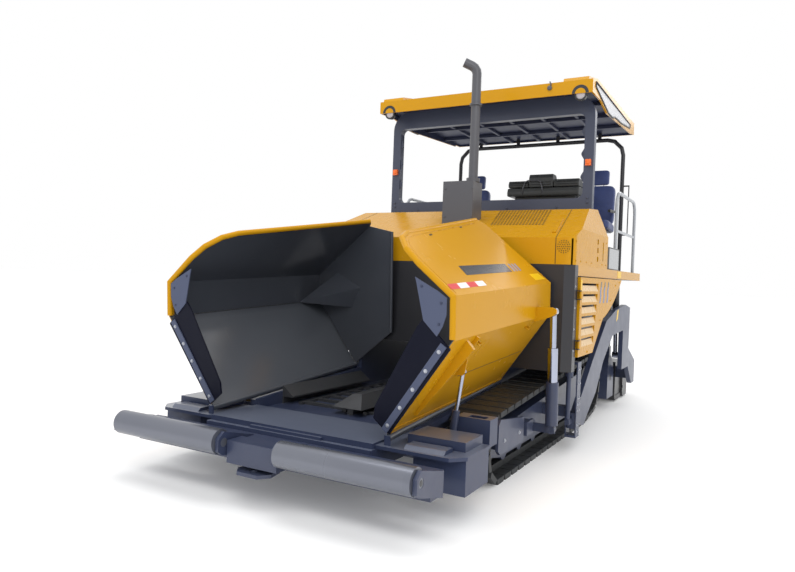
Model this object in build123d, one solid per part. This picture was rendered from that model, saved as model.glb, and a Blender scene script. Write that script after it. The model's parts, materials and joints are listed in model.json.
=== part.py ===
"""Tracked asphalt paver: tractor, hopper, conveyors, augers, screed, hood and canopy.

Units are millimetres. +Z is up, Z = 0 is the ground, X = 0 is the centre plane and the machine
drives towards -Y. Left and right are the operator's, who looks forward: left is +X.
Each piece is modelled at rest: hopper wings folded up, screed lowered.
"""
from build123d import *
import os
from math import atan2, cos, degrees, hypot, pi, radians, sin, tan

os.makedirs("parts", exist_ok=True)

# ---------------------------------------------------------------- driving dimensions
BODY_HALF = 1500.0          # half width over the bodywork
DECK_BOTTOM = 1700.0        # underside of the ledge round the engine bay
DECK_TOP = 1800.0
BULKHEAD_FRONT = -870.0     # hopper's rear bulkhead, front face
BULKHEAD_REAR = -700.0
PLATFORM_REAR = 2700.0
SHEET = 20.0                # folded sheet of hood, tanks and bulkhead
RUN_GAP = 0.3               # running clearance of faces that turn or slide on each other

# crawler
SHOE_WIDTH = 380.0
SHOE_THICK = 45.0
SHOE_PITCH = 172.0
SHOE_LENGTH = 158.0
CHAIN_THICK = 55.0
CHAIN_WIDTH = 150.0
IDLER_Y, IDLER_OUT = -1900.0, 290.0
SPROCKET_Y, SPROCKET_OUT, SPROCKET_LIFT = 1230.0, 370.0, 60.0
LAST_ROLLER_Y = 860.0
ROLLER_R = 80.0
ROLLERS = 7
TEETH = 12

# chassis
FRAME_HALF = 800.0          # outside of the chassis side plates
TRACK_CENTRE = FRAME_HALF + 70 + SHOE_WIDTH / 2     # the shoes clear the side plates by 70
FRAME_PLATE = 40.0
FRAME_BOTTOM = 260.0
FRAME_FRONT = -2520.0
FRAME_REAR = 1900.0
TUNNEL_FLOOR = 440.0
LEDGE = 55.0                # ledge under the wing hinge, out from the side plate

# hopper wings: their panels rise to the rear, and their hinges a little more
WING_X, WING_FRONT, WING_Z = 795.0, -3010.0, 513.0      # front foot of the floor panel
WING_RISE, HINGE_RISE = 3.0, 4.0        # degrees
HINGE_X = 825.0
WING_LENGTH = 2125.0
WING_FLOOR = (505.0, 715.0)     # across and up from the hinge to the lower crease
WING_WALL = 285.0               # height of the middle panel
WING_TOP_LEAN = 39.5            # degrees from level, leaning in
WING_TOP_FRONT, WING_TOP_REAR = 610.0, 930.0   # width of the top panel along each end
WING_FRONT_CORNER, WING_REAR_CORNER = 330.0, 110.0
WING_REAR_REACH = 420.0         # rear wall, from the hinge towards the centre
WING_SKIN = 12.0
WING_RIM = 22.0             # radius of the bead along the free edge
WING_FOOT_TRIM = 30.0           # floor panel starts this far up from its foot, at the hinge tube
HINGE_TUBE, HINGE_PIN, HINGE_PIN_LENGTH = 24.0, 13.0, 60.0

# push rollers and front platform
PUSH_Y, PUSH_Z, PUSH_R = -3480.0, 415.0, 90.0
PUSH_INNER, PUSH_OUTER = 265.0, 1300.0
PUSH_BRACKET = 30.0
BEAM_FRONT, BEAM_REAR = -3310.0, -3130.0
BEAM_BOTTOM, BEAM_TOP = 250.0, 410.0

# superstructure
HOOD_CREASE = 2050.0
HOOD_TOP_FRONT, HOOD_TOP_REAR = 2420.0, 2460.0
HOOD_SLOPE_END = 100.0
HOOD_REAR = 560.0
HOOD_SHOULDER = 1350.0
ROPS_Y, ROPS_DEPTH = 580.0, 90.0
ROPS_HALF, ROPS_TOP, ROPS_FOOT = 1300.0, 3770.0, 2470.0
ROPS_LEG, ROPS_BEAM, ROPS_BAR = 110.0, 215.0, 130.0
CANOPY_HALF, CANOPY_FRONT, CANOPY_REAR = 1335.0, 270.0, 2740.0
CANOPY_TOP_FRONT, CANOPY_TOP_REAR = ROPS_TOP + 75, ROPS_TOP + 135
CANOPY_EDGE = ROPS_TOP - 70     # lower edge of its front fascia
HOOP_TOP = ROPS_TOP - 105       # centre line of the rear hoop's top run
CANOPY_WALL = 20.0

# tow arms, augers and screed
ARM_INNER, ARM_OUTER = 1420.0, 1475.0
TOW_Y, TOW_Z = -480.0, 300.0
TOW_EYE, TOW_PIN = 50.0, 26.0
AUGER_R, AUGER_SHAFT, AUGER_Z = 200.0, 45.0, 400.0
AUGER_Y = FRAME_REAR + AUGER_R + 30     # the flights clear the chassis by 30
AUGER_PITCH = 380.0
SCREED_FRONT, SCREED_REAR = 2560.0, 3000.0
SCREED_HALF = 1250.0
SCREED_BOTTOM = 20.0
EXT_FRONT, EXT_REAR = 3010.0, 3330.0
RAIL_HEIGHTS, RAIL_DEPTH = (140.0, 420.0), 45.0      # rails that the screed extensions slide on
DOOR_OUTER, DOOR_THICK = BODY_HALF + 20, 30.0
DOOR_FRONT = -670.0
LOUVRES, LOUVRE_TOP, LOUVRE_PITCH, LOUVRE_HEIGHT = 6, 1635.0, 107.0, 84.0
DOOR_HINGE_X, DOOR_HINGE_Y, DOOR_HINGES = BODY_HALF + 26, -688.0, (1050.0, 1520.0)
KNUCKLE_R, KNUCKLE_LENGTH, KNUCKLE_PIN = 12.0, 70.0, 6.0


# cylinder pins; the wings' are out from the hinge, along it and up square to it
WING_PIN = (625.0, 1776.0, 739.0)
WING_FOOT = (625.0, 1776.0, -298.0)
FRONT_PIN = (310.0, 559.0, 396.0)
FRONT_FOOT = (205.0, 559.0, -222.0)
LIFT_TOP = (1350.0, 1850.0, 1640.0)
LIFT_EYE = (1350.0, 1980.0, 720.0)


# ---------------------------------------------------------------- helpers
def box(x0, x1, y0, y1, z0, z1):
    """A block between two opposite corners."""
    size = (x1 - x0, y1 - y0, z1 - z0)
    return Pos((x0 + x1) / 2, (y0 + y1) / 2, (z0 + z1) / 2) * Box(*size)


def rod(start, end, radius):
    """A round bar from start to end."""
    a, b = Vector(start), Vector(end)
    plane = Plane(origin=a, z_dir=b - a)
    return extrude(plane * Circle(radius), amount=(b - a).length)


def prism(start, end, radius, sides):
    """A straight bar with a regular outline of flat sides, each at the radius from its axis."""
    a, b = Vector(start), Vector(end)
    plane = Plane(origin=a, z_dir=b - a)
    return extrude(plane * RegularPolygon(radius, sides, major_radius=False), amount=(b - a).length)


def pipe(start, end, radius, bore):
    """A round tube from start to end, open at both ends; its unseen bore has twelve flat sides."""
    a, b = Vector(start), Vector(end)
    plane = Plane(origin=a, z_dir=b - a)
    ring = Circle(radius) - RegularPolygon(bore, 12, major_radius=False)
    return extrude(plane * ring, amount=(b - a).length)


def plate_yz(points, x0, x1):
    """A plate with its outline in Y and Z, from x0 to x1."""
    wire = Polyline(*[(y, z) for y, z in points], close=True)
    plane = Plane(origin=(x0, 0, 0), x_dir=(0, 1, 0), z_dir=(1, 0, 0))
    return extrude(plane * make_face(wire), amount=x1 - x0)


def plate_xz(points, y0, y1):
    """A plate with its outline in X and Z, from y0 to y1."""
    wire = Polyline(*points, close=True)
    plane = Plane(origin=(0, y1, 0), x_dir=(1, 0, 0), z_dir=(0, -1, 0))
    return extrude(plane * make_face(wire), amount=y1 - y0)


def plate_xy(points, z0, z1):
    """A plate with its outline in X and Y, from z0 to z1."""
    wire = Polyline(*points, close=True)
    return extrude(Plane(origin=(0, 0, z0)) * make_face(wire), amount=z1 - z0)


def bent_tube(points, bend, section):
    """A tube of the given section whose bends are each three mitred runs."""
    line = [Vector(p) for p in points]
    path = [line[0]]
    for before, corner, after in zip(line, line[1:], line[2:]):
        back, ahead = (before - corner).normalized(), (after - corner).normalized()
        half = radians(back.get_angle(ahead)) / 2
        reach = bend / tan(half)
        centre = corner + (back + ahead).normalized() * (bend / sin(half))
        for share in (0.0, 1 / 3, 2 / 3, 1.0):
            spot = corner + back * (reach * (1 - share)) + ahead * (reach * share)
            path.append(centre + (spot - centre).normalized() * bend)
    path.append(line[-1])
    wire = Polyline(*path)
    return sweep(Plane(origin=wire @ 0, z_dir=wire % 0) * section, path=wire, transition=Transition.RIGHT)


def solid_of_faces(corners, faces):
    """A closed solid from flat faces, each a list of corner numbers."""
    made = [Face(Wire.make_polygon([corners[i] for i in face], close=True)) for face in faces]
    solid = Solid(Shell(made))
    return solid if solid.volume > 0 else Solid(Shell([-f for f in made]))


def ribbon(rings):
    """A solid through a row of four-cornered rings, each side split into two flat triangles."""
    corners = [c for ring in rings for c in ring]
    faces = [[3, 2, 1, 0], [len(corners) - 4 + i for i in range(4)]]
    for n in range(0, len(corners) - 4, 4):
        for i in range(4):
            a, b = n + i, n + (i + 1) % 4
            faces += [[a, b, b + 4], [a, b + 4, a + 4]]
    return solid_of_faces(corners, faces)


def mirrored(shape):
    """The same shape on the other side of the centre plane."""
    return mirror(shape, about=Plane.YZ)


def both(shape):
    """The shape and its mirror image."""
    return [shape, mirrored(shape)]


def solids_of(*shapes):
    found = []
    for shape in shapes:
        if isinstance(shape, (list, tuple)):
            found += solids_of(*shape)
        else:
            found += list(shape.solids())
    return found


def save(name, *shapes):
    """Write one node, as its separate solids."""
    solids = solids_of(*shapes)
    export_step(solids[0] if len(solids) == 1 else Compound(children=solids), f"parts/{name}.step")


def save_pair(name, left_shapes):
    """Write the left node and its mirror image."""
    save(f"{name}_left", left_shapes)
    save(f"{name}_right", [mirrored(s) for s in solids_of(left_shapes)])


# ---------------------------------------------------------------- crawler tracks
SPROCKET_Z = SPROCKET_OUT + SPROCKET_LIFT
CHAIN_INSET = SHOE_THICK + CHAIN_THICK
ROLLER_Z = CHAIN_INSET + ROLLER_R + RUN_GAP


def track_hull(inset):
    """The closed line round idler, last roller and sprocket, inset from the shoes' outer face."""
    wheels = (  # y, z, radius over the shoes
        (IDLER_Y, IDLER_OUT, IDLER_OUT),
        (LAST_ROLLER_Y, ROLLER_Z, ROLLER_Z),
        (SPROCKET_Y, SPROCKET_Z, SPROCKET_OUT),
    )
    edges = []
    for y, z, r in wheels:
        edges += (Pos(y, z) * Circle(r - inset)).edges()
    return make_hull(edges)


def track():
    """One fixed loop: a chain band with its shoes round it."""
    plane = Plane(origin=(TRACK_CENTRE - CHAIN_WIDTH / 2, 0, 0), x_dir=(0, 1, 0), z_dir=(1, 0, 0))
    band = track_hull(SHOE_THICK - 5) - track_hull(CHAIN_INSET)
    loop = extrude(plane * band, amount=CHAIN_WIDTH)
    line = track_hull(SHOE_THICK / 2).face().outer_wire()
    count = round(line.length / SHOE_PITCH)
    half = SHOE_LENGTH / 2
    shoe = plate_yz([(-half, -SHOE_THICK / 2), (half, -SHOE_THICK / 2), (half - 14, SHOE_THICK / 2),
                     (14 - half, SHOE_THICK / 2)],
                    TRACK_CENTRE - SHOE_WIDTH / 2, TRACK_CENTRE + SHOE_WIDTH / 2)
    shoes = []
    for i in range(count):
        spot = line.position_at(i / count)
        along = line.tangent_at(i / count)
        turn = degrees(atan2(along.Y, along.X))
        # the line is drawn in X and Y of its own plane, which are Y and Z of the machine
        outward = turn if inside_is_left(line) else turn + 180
        shoes.append(Pos(0, spot.X, spot.Y) * Rot(X=outward + 180) * shoe)
    return loop.fuse(*shoes)


def inside_is_left(line):
    """True when the closed line runs anticlockwise, seen with its own X to the right."""
    area = 0.0
    points = [line.position_at(i / 24) for i in range(24)]
    for a, b in zip(points, points[1:] + points[:1]):
        area += a.X * b.Y - b.X * a.Y
    return area > 0


def turned_disc(x0, x1, y, z, radius):
    return rod((x0, y, z), (x1, y, z), radius)


def track_wheels():
    """Idler with its rim and the toothed sprocket with its hub drum, left side."""
    c = TRACK_CENTRE
    idler_r = IDLER_OUT - CHAIN_INSET - RUN_GAP
    idler = turned_disc(c - 60, c + 60, IDLER_Y, IDLER_OUT, idler_r)
    idler += turned_disc(c - 85 + RUN_GAP, c + 85 - RUN_GAP, IDLER_Y, IDLER_OUT, 70)
    tip = SPROCKET_OUT - CHAIN_INSET - RUN_GAP
    root = tip - 28
    outline = []
    for i in range(TEETH):
        for turn, r in ((-0.30, root), (-0.16, tip), (0.16, tip), (0.30, root)):
            a = 2 * pi * (i + turn) / TEETH
            outline.append((SPROCKET_Y + r * cos(a), SPROCKET_Z + r * sin(a)))
    sprocket = plate_yz(outline, c - 40, c + 40)
    sprocket += turned_disc(c - 85 + RUN_GAP, c + 85 - RUN_GAP, SPROCKET_Y, SPROCKET_Z, 190)
    return [idler, sprocket]


def track_frame():
    """Side frame of one track: beam, roller plates with the bottom rollers, tensioner and guard."""
    c = TRACK_CENTRE
    top_slope = (SPROCKET_Z + SPROCKET_OUT - 2 * IDLER_OUT) / (SPROCKET_Y - IDLER_Y)
    y0, y1 = IDLER_Y + 230, SPROCKET_Y - 320
    top = 400.0
    frame = plate_yz([(y0, 290), (y1, 290), (y1, top + top_slope * (y1 - y0)), (y0, top)], c - 100, c + 100)
    for x0 in (c - 100, c + 85):
        frame += plate_yz([(IDLER_Y - 60, 200), (IDLER_Y + 200, 150), (SPROCKET_Y - 330, 150),
                           (SPROCKET_Y + 60, 380), (SPROCKET_Y + 60, 480), (y1, 480), (y0, 380),
                           (IDLER_Y - 60, 340)], x0, x0 + 15)
    first = IDLER_Y + 330
    for i in range(ROLLERS):
        y = first + (LAST_ROLLER_Y - first) * i / (ROLLERS - 1)
        # a corner of its outline stands on the chain
        frame += prism((c - 86, y, ROLLER_Z), (c + 86, y, ROLLER_Z), ROLLER_R * cos(pi / 12), 12)
    outer = TRACK_CENTRE + SHOE_WIDTH / 2 + 12
    frame += plate_yz([(-2090, 300), (-2040, 262), (-1480, 262), (-1480, 470), (-2050, 540), (-2090, 500)],
                      outer, outer + 25)
    for y in (-1985, -1560):
        frame += box(c + 100, outer, y - 30, y + 30, 290, 370)
    # tensioner block with its grease cylinder outside the frame plate
    frame += box(c + 99, outer + 40, -1440, -1290, 300, 420)
    frame += rod((outer - 20, -1292, 360), (outer - 20, -1120, 360), 34)
    for y in (-1250.0, 480.0):
        frame += box(FRAME_HALF, c - 100, y - 110, y + 110, 300, 420)
    foot_x, foot_y, foot_z = WING_FOOT
    arm = box(c + 80 - HINGE_X, foot_x + 20, foot_y + 38, foot_y + 50, foot_z - 50, foot_z + 28)
    arm += rod((foot_x, foot_y - 25, foot_z), (foot_x, foot_y + 45, foot_z), 20)
    return frame + place_hinge(arm)


# ---------------------------------------------------------------- chassis
def hinge_height(y):
    """Height of the wing hinge line at y."""
    return WING_Z + tan(radians(HINGE_RISE)) * (y - WING_FRONT)


def place_hinge(shape):
    """From the left hinge's axes (x out, y along the hinge, z square to both) to the machine."""
    return Pos(HINGE_X, WING_FRONT, WING_Z) * Rot(X=HINGE_RISE) * shape


def main_frame():
    """Two side plates with the tunnel floor, cross tubes and rear plate."""
    below = HINGE_TUBE + 4
    rail_top = [(FRAME_FRONT, hinge_height(FRAME_FRONT) - below),
                (BULKHEAD_FRONT, hinge_height(BULKHEAD_FRONT) - below),
                (BULKHEAD_FRONT, 800), (BULKHEAD_REAR, 800), (BULKHEAD_REAR, 1000), (FRAME_REAR, 1000)]
    outline = [(FRAME_FRONT, FRAME_BOTTOM), *rail_top, (FRAME_REAR, 420), (1500, FRAME_BOTTOM)]
    side = plate_yz(outline, FRAME_HALF - FRAME_PLATE, FRAME_HALF)
    inner = FRAME_HALF - FRAME_PLATE
    frame = side + mirrored(side)
    frame += box(-inner, inner, FRAME_FRONT, 1500, FRAME_BOTTOM, FRAME_BOTTOM + 15)
    frame += box(-inner, inner, FRAME_FRONT, FRAME_REAR, TUNNEL_FLOOR - 20, TUNNEL_FLOOR)
    for y in (-1500.0, 0.0, 1250.0):
        frame += box(-inner, inner, y - 50, y + 50, FRAME_BOTTOM, TUNNEL_FLOOR - 10)
    # tunnel roof under the engine, with its end posts
    frame += box(-inner, inner, BULKHEAD_REAR, 1300, 960, 1000)
    for lug in hinge_lug(WING_LENGTH + 3, 1):
        frame += lug
    # ledge under each wing hinge, rising to the rear with it
    ledge = plate_yz([(FRAME_FRONT, hinge_height(FRAME_FRONT) - 90),
                      (BULKHEAD_FRONT, hinge_height(BULKHEAD_FRONT) - 90),
                      (BULKHEAD_FRONT, hinge_height(BULKHEAD_FRONT) - 40), (FRAME_FRONT,
                                                                            hinge_height(FRAME_FRONT) - 40)],
                     FRAME_HALF - 1, FRAME_HALF + LEDGE)
    return frame + ledge + mirrored(ledge)


def hinge_lug(at, way):
    """A lug beyond one end of each wing's hinge tube, with the pin that runs in the tube."""
    y0, y1 = sorted((at, at + way * 12))
    lug = box(-22, 22, y0, y1, -60, 22)
    pin_end = at - way * (HINGE_PIN_LENGTH + 3)
    lug += rod((0, at, 0), (0, pin_end, 0), HINGE_PIN)
    return both(place_hinge(lug))


def push_beam():
    """Cross beam with a bracket at each roller end and the hitch plate below its middle."""
    beam = box(-PUSH_OUTER - 10, PUSH_OUTER + 10, BEAM_FRONT, BEAM_REAR, BEAM_BOTTOM, BEAM_TOP)
    beam += box(-PUSH_INNER + 40, PUSH_INNER - 40, PUSH_Y + 20, BEAM_FRONT, BEAM_BOTTOM + 20, BEAM_TOP + 20)
    for side in (1, -1):
        for x in (PUSH_INNER - PUSH_BRACKET, PUSH_OUTER):
            a, b = sorted((side * x, side * (x + PUSH_BRACKET)))
            arm = plate_yz([(PUSH_Y - 55, PUSH_Z + 30), (PUSH_Y - 55, PUSH_Z - 60),
                            (PUSH_Y - 20, PUSH_Z - 85), (BEAM_REAR - 40, BEAM_BOTTOM - 5),
                            (BEAM_REAR - 40, BEAM_TOP + 5), (PUSH_Y, PUSH_Z + 75)], a, b)
            beam += arm - rod((a - 5, PUSH_Y, PUSH_Z), (b + 5, PUSH_Y, PUSH_Z), 32)
    hitch = plate_xy([(-120, BEAM_FRONT + 20), (-150, -3420), (-90, -3500), (90, -3500), (150, -3420),
                      (120, BEAM_FRONT + 20)], 215, 240)
    hitch += box(-100, 100, BEAM_FRONT, BEAM_REAR, 215, BEAM_BOTTOM)
    hitch -= rod((0, -3430, 200), (0, -3430, 260), 25)
    return beam + hitch


def front_platform():
    """Stepped steel platform ahead of the hopper, in pieces that meet at the small cylinders' slots."""
    deck = plate_xy([(-750, -3090), (-750, FRAME_FRONT - 40), (750, FRAME_FRONT - 40), (750, -3090)],
                    440, 480)
    inner = FRAME_HALF - FRAME_PLATE
    cross = box(-inner, inner, BEAM_REAR, FRAME_FRONT, 300, 440)
    cross += box(-330, 330, -3110, -3060, 430, 462)
    found = [deck, cross]
    foot_x, foot_y, foot_z = FRONT_FOOT
    for side in (1, -1):
        shelf = plate_xy([(750, -3060), (1310, -3060), (1400, -2960), (1400, FRAME_FRONT - 40),
                          (750, FRAME_FRONT - 40)], 440, 465)
        step = box(900, 1340, -2860, FRAME_FRONT - 40, 465, 530)
        tread = plate_yz([(-3030, 464), (-3000, 492), (-2890, 492), (-2890, 464)], 960, 1260)
        weight = box(1000, 1390, -2960, FRAME_FRONT - 40, 200, 440)
        front = shelf + step + tread + weight
        # side block behind the slot that the small wing cylinder swings in, and the foot bracket's cheeks
        rear = box(1050, 1330, -2395, -2240, 430, 600) + box(FRAME_HALF, 1330, -2395, -2240, 400, 450)
        rear -= box(1140, 1280, -2370, -2290, 560, 610)
        bridge = box(FRAME_HALF + LEDGE, 1330, -2560, -2510, 400, 450)
        cheeks = [box(FRAME_HALF + 1 - HINGE_X, foot_x + 45, foot_y + y0, foot_y + y0 + 12, foot_z - 60,
                      foot_z + 60)
                  for y0 in (-48, 36)]
        pin = rod((foot_x, foot_y - 42, foot_z), (foot_x, foot_y + 42, foot_z), 12)
        bracket = place_hinge(cheeks[0] + cheeks[1] + pin)
        for piece in (front, rear, bridge, bracket):
            found.append(piece if side == 1 else mirrored(piece))
    for lug in hinge_lug(-3, -1):
        found.append(lug)
    return found


def hopper_floor():
    """Centre ridge between the slat conveyors and the sloping guards along the tunnel."""
    rear = BULKHEAD_FRONT - 10
    front = -2290.0
    ridge = plate_xz([(-150, 500), (-40, 600), (40, 600), (150, 500)], front, rear)
    cut = plate_yz([(front - 1, 502), (front + 190, 610), (front - 1, 610)], -200, 200)
    ridge = ridge - cut
    ridge += box(-30, 30, front + 60, rear, TUNNEL_FLOOR, 505)
    pieces = [ridge]
    for side in (1, -1):
        x0, x1 = side * 640, side * 758
        guard = plate_xz([(x0, 500), (x0, 512), (x1, 600), (x1, 500)], -2200, rear)
        guard += plate_xz([(x1, 500), (x1 - side * 14, 500), (x1 - side * 14, TUNNEL_FLOOR),
                           (x1, TUNNEL_FLOOR)],
                          -2200, rear)
        pieces.append(guard)
    return pieces


CONVEYOR_X, CONVEYOR_WIDTH = 345.0, 520.0
CONVEYOR_FRONT, CONVEYOR_REAR = -2160.0, 1830.0


def slat_conveyor(side):
    """One slat conveyor's upper run: two chains with a slat every pitch, and its end shafts."""
    pitch, slat, height = 200.0, 50.0, 24.0
    x0, x1 = sorted((side * (CONVEYOR_X - CONVEYOR_WIDTH / 2), side * (CONVEYOR_X + CONVEYOR_WIDTH / 2)))
    z0 = TUNNEL_FLOOR
    chains = [box(x, x + 40, CONVEYOR_FRONT, CONVEYOR_REAR, z0, z0 + 22) for x in (x0, x1 - 40)]
    count = int((CONVEYOR_REAR - CONVEYOR_FRONT) / pitch)
    slats = []
    for i in range(count):
        y = CONVEYOR_FRONT + 40 + i * pitch
        slats.append(box(x0 + 5, x1 - 5, y, y + slat, z0, z0 + height))
    return chains[0].fuse(chains[1], *slats)


# ---------------------------------------------------------------- body
def bulkhead():
    """Hollow wall behind the hopper, cut through for the conveyors, with bevelled outer corners."""
    outline = [(-BODY_HALF, 800), (-BODY_HALF, DECK_TOP), (BODY_HALF, DECK_TOP), (BODY_HALF, 800)]
    wall = plate_xz(outline, BULKHEAD_FRONT, BULKHEAD_REAR)
    bevel = plate_xy([(BODY_HALF + 1, BULKHEAD_FRONT - 1), (BODY_HALF - 90, BULKHEAD_FRONT - 1),
                      (BODY_HALF + 1, BULKHEAD_FRONT + 60)], 700, DECK_TOP + 1)
    wall -= bevel
    wall -= mirrored(bevel)
    inner = FRAME_HALF - FRAME_PLATE
    wall -= box(-inner, inner, BULKHEAD_FRONT - 1, BULKHEAD_REAR + 1, 799, 960)
    for z in DOOR_HINGES:
        for z0 in (z - KNUCKLE_LENGTH / 2 - 10, z + KNUCKLE_LENGTH / 2):
            lug = box(BODY_HALF - 30, DOOR_HINGE_X + 10, BULKHEAD_REAR - 20, DOOR_HINGE_Y, z0, z0 + 10)
            lug += prism((DOOR_HINGE_X, DOOR_HINGE_Y, z0), (DOOR_HINGE_X, DOOR_HINGE_Y, z0 + 10),
                         KNUCKLE_R, 8)
            wall += lug
            wall += mirrored(lug)
        pin = rod((DOOR_HINGE_X, DOOR_HINGE_Y, z - 40), (DOOR_HINGE_X, DOOR_HINGE_Y, z + 40), KNUCKLE_PIN)
        wall += pin
        wall += mirrored(pin)
    return wall


def side_tank():
    """Closed tank and cooler box above the track, left side."""
    return box(870, 1390, BULKHEAD_REAR, 1450, 880, DECK_BOTTOM)


def deck_frame():
    """Ledge round the engine bay and the operator's floor behind it."""
    deck = box(-BODY_HALF, BODY_HALF, BULKHEAD_REAR, PLATFORM_REAR, DECK_BOTTOM, DECK_TOP)
    deck -= box(-1200, 1200, BULKHEAD_REAR + 100, 1250, DECK_BOTTOM - 1, DECK_TOP + 1)
    for side in (1, -1):
        a, b = sorted((side * 760, side * 840))
        deck += box(a, b, 1500, 1860, 1000, DECK_BOTTOM)
        a, b = sorted((side * (LIFT_TOP[0] - 44), side * (LIFT_TOP[0] - 30 - RUN_GAP)))
        deck += box(a, b, LIFT_TOP[1] - 50, LIFT_TOP[1] + 50, LIFT_TOP[2] - 24, DECK_BOTTOM)
        deck += rod((a, LIFT_TOP[1], LIFT_TOP[2]), (side * (LIFT_TOP[0] + 30), LIFT_TOP[1], LIFT_TOP[2]), 16)
    return deck


def engine_block():
    return box(-420, 420, -500, 500, 1000, 1960)


def hood_form(inset):
    """The hood's outer form, drawn smaller by the inset."""
    y0, y1 = BULKHEAD_FRONT + inset, HOOD_REAR + 600
    slope_end = HOOD_SLOPE_END + inset
    profile = [(y0, DECK_TOP), (y0, HOOD_CREASE - inset / 2), (slope_end, HOOD_TOP_FRONT - inset),
               (HOOD_REAR, HOOD_TOP_REAR - inset), (y1, HOOD_TOP_REAR - inset), (y1, DECK_TOP)]
    body = plate_yz(profile, -BODY_HALF, BODY_HALF)
    half, shoulder, top = BODY_HALF - inset, HOOD_SHOULDER - inset, HOOD_TOP_REAR - inset
    knee = 2150.0
    front = Polyline((-shoulder, top + 60), (-half, knee), (-half, DECK_TOP - 1), (half, DECK_TOP - 1),
                     (half, knee), (shoulder, top + 60), close=True)
    plane = Plane(origin=(0, y1 + 1, 0), x_dir=(1, 0, 0), z_dir=(0, -1, 0))
    return body & extrude(plane * make_face(front), amount=y1 - y0 + 2)


def hood():
    """Sheet-metal engine hood, open below and behind, with its air holes and vent slots."""
    shell = hood_form(0)
    corners = shell.edges().filter_by(Axis.Z).group_by(Axis.Y)[0]
    shell = fillet(corners, 90)
    inner = hood_form(SHEET) - box(-2000, 2000, HOOD_REAR - SHEET, 3000, 1000, 3000)
    hood_shell = shell - inner
    hood_shell -= box(-2000, 2000, HOOD_REAR, 3000, 1000, 3000)
    # three square holes and a tall slot in each flank
    for side in (1, -1):
        x0, x1 = sorted((side * (BODY_HALF - 120), side * (BODY_HALF + 1)))
        for z in (1890.0, 1980.0, 2070.0):
            hood_shell -= box(x0, x1, 52, 108, z - 26, z + 26)
        hood_shell -= box(x0, x1, 312, 348, 1880, 2080)
    return hood_shell - exhaust_case()


EXHAUST_X, EXHAUST_Y = 245.0, -350.0


def exhaust_case():
    return box(-50, 300, EXHAUST_Y - 120, EXHAUST_Y + 130, 2150, 2680)


def exhaust():
    """Silencer box and raised pipe with its turned-out mouth."""
    x, y = EXHAUST_X, EXHAUST_Y
    stack = bent_tube([(x, y, 2675), (x, y, 3900), (x - 120, y - 70, 3960)], 90, Circle(50))
    flange = rod((x, y, 3500), (x, y, 3520), 68)
    collar = rod((x, y, 2680), (x, y, 2720), 72)
    return [exhaust_case() + stack + flange + collar]


def rops_frame():
    """Front protective frame: rounded hoop with a lower bar, from one thick profile."""
    width, height = 2 * ROPS_HALF, ROPS_TOP - ROPS_FOOT
    plane = Plane(origin=(0, ROPS_Y + ROPS_DEPTH, (ROPS_TOP + ROPS_FOOT) / 2), x_dir=(1, 0, 0),
                  z_dir=(0, -1, 0))
    outer = Rectangle(width, height)
    outer = fillet(outer.vertices().group_by(Axis.Y)[-1], 230)
    hole_w, hole_h = width - 2 * ROPS_LEG, height - ROPS_BEAM - ROPS_BAR
    hole = Pos(0, (ROPS_BAR - ROPS_BEAM) / 2) * Rectangle(hole_w, hole_h)
    hole = fillet(hole.vertices(), 70)
    return extrude(plane * (outer - hole), amount=ROPS_DEPTH)


def canopy():
    """Roof tray with a fascia that deepens at the sides and a raised box on each front corner."""
    top = ROPS_TOP
    profile = [(CANOPY_FRONT, CANOPY_EDGE), (CANOPY_FRONT, CANOPY_TOP_FRONT), (460, top + 125),
               (CANOPY_REAR, CANOPY_TOP_REAR), (CANOPY_REAR, top - 25)]
    roof = plate_yz(profile, -CANOPY_HALF, CANOPY_HALF)
    wall = CANOPY_WALL
    roof -= box(-CANOPY_HALF + wall, CANOPY_HALF - wall, CANOPY_FRONT + wall, CANOPY_REAR - wall, top - 270,
                top)
    skirt = plate_yz([(440, top - 25), (1000, top - 130), (2560, top - 50), (2560, top - 10),
                      (440, top - 10)], CANOPY_HALF - wall, CANOPY_HALF)
    pod = plate_yz([(CANOPY_FRONT, top + 70), (CANOPY_FRONT + 15, top + 110), (520, top + 155),
                    (640, top + 130), (640, top + 110), (300, top + 30)], 1010, 1290)
    return roof + skirt + mirrored(skirt) + pod + mirrored(pod)


def rear_hoop():
    """Rear frame of the canopy: one bent tube with four posts up to the roof and a grab handle."""
    y = 2600.0
    top = HOOP_TOP
    hoop = bent_tube([(-1230, y, DECK_TOP), (-1230, y, top), (1230, y, top), (1230, y, DECK_TOP)], 220,
                     RegularPolygon(28, 12))
    for x in (-900.0, -300.0, 300.0, 900.0):
        hoop += box(x - 25, x + 25, y - 6, y + 6, top, ROPS_TOP)
    for side in (1, -1):
        x0, x1 = sorted((side * 1222, side * 1330))
        for z in (2330.0, 3010.0):
            hoop += box(x0, x1, y - 9, y + 9, z - 9, z + 9)
        hoop += box(*sorted((side * 1318, side * 1330)), y - 9, y + 9, 2321, 3019)
    return hoop


def console():
    """Operator's desk that slides across: a stand, a sloping instrument top and its hinged cover."""
    stand = box(40, 880, 1500, 1700, DECK_TOP, 2760)
    desk = plate_yz([(1400, 2750), (1400, 2930), (1470, 3020), (1560, 3020), (1760, 2860), (1760, 2750)],
                    -20, 940)
    rib = box(-20, 940, 1470, 1560, 3019, 3045)
    return [stand + desk + rib]


def seat(x):
    """Operator's seat: cushion, backrest with headrest and its pedestal."""
    pad = plate_yz([(1780, 2350), (1780, 2440), (1810, 2470), (2200, 2430), (2260, 2330)], x - 240, x + 240)
    back = plate_yz([(2140, 2436), (2200, 2430), (2260, 2330), (2300, 2960), (2270, 2990), (2215, 2970)],
                    x - 225, x + 225)
    head = plate_yz([(2222, 2975), (2300, 2960), (2312, 3170), (2285, 3200), (2245, 3180)], x - 130, x + 130)
    post = box(x - 120, x + 120, 1900, 2140, DECK_TOP, 2345)
    return pad + back + head + post


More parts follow.
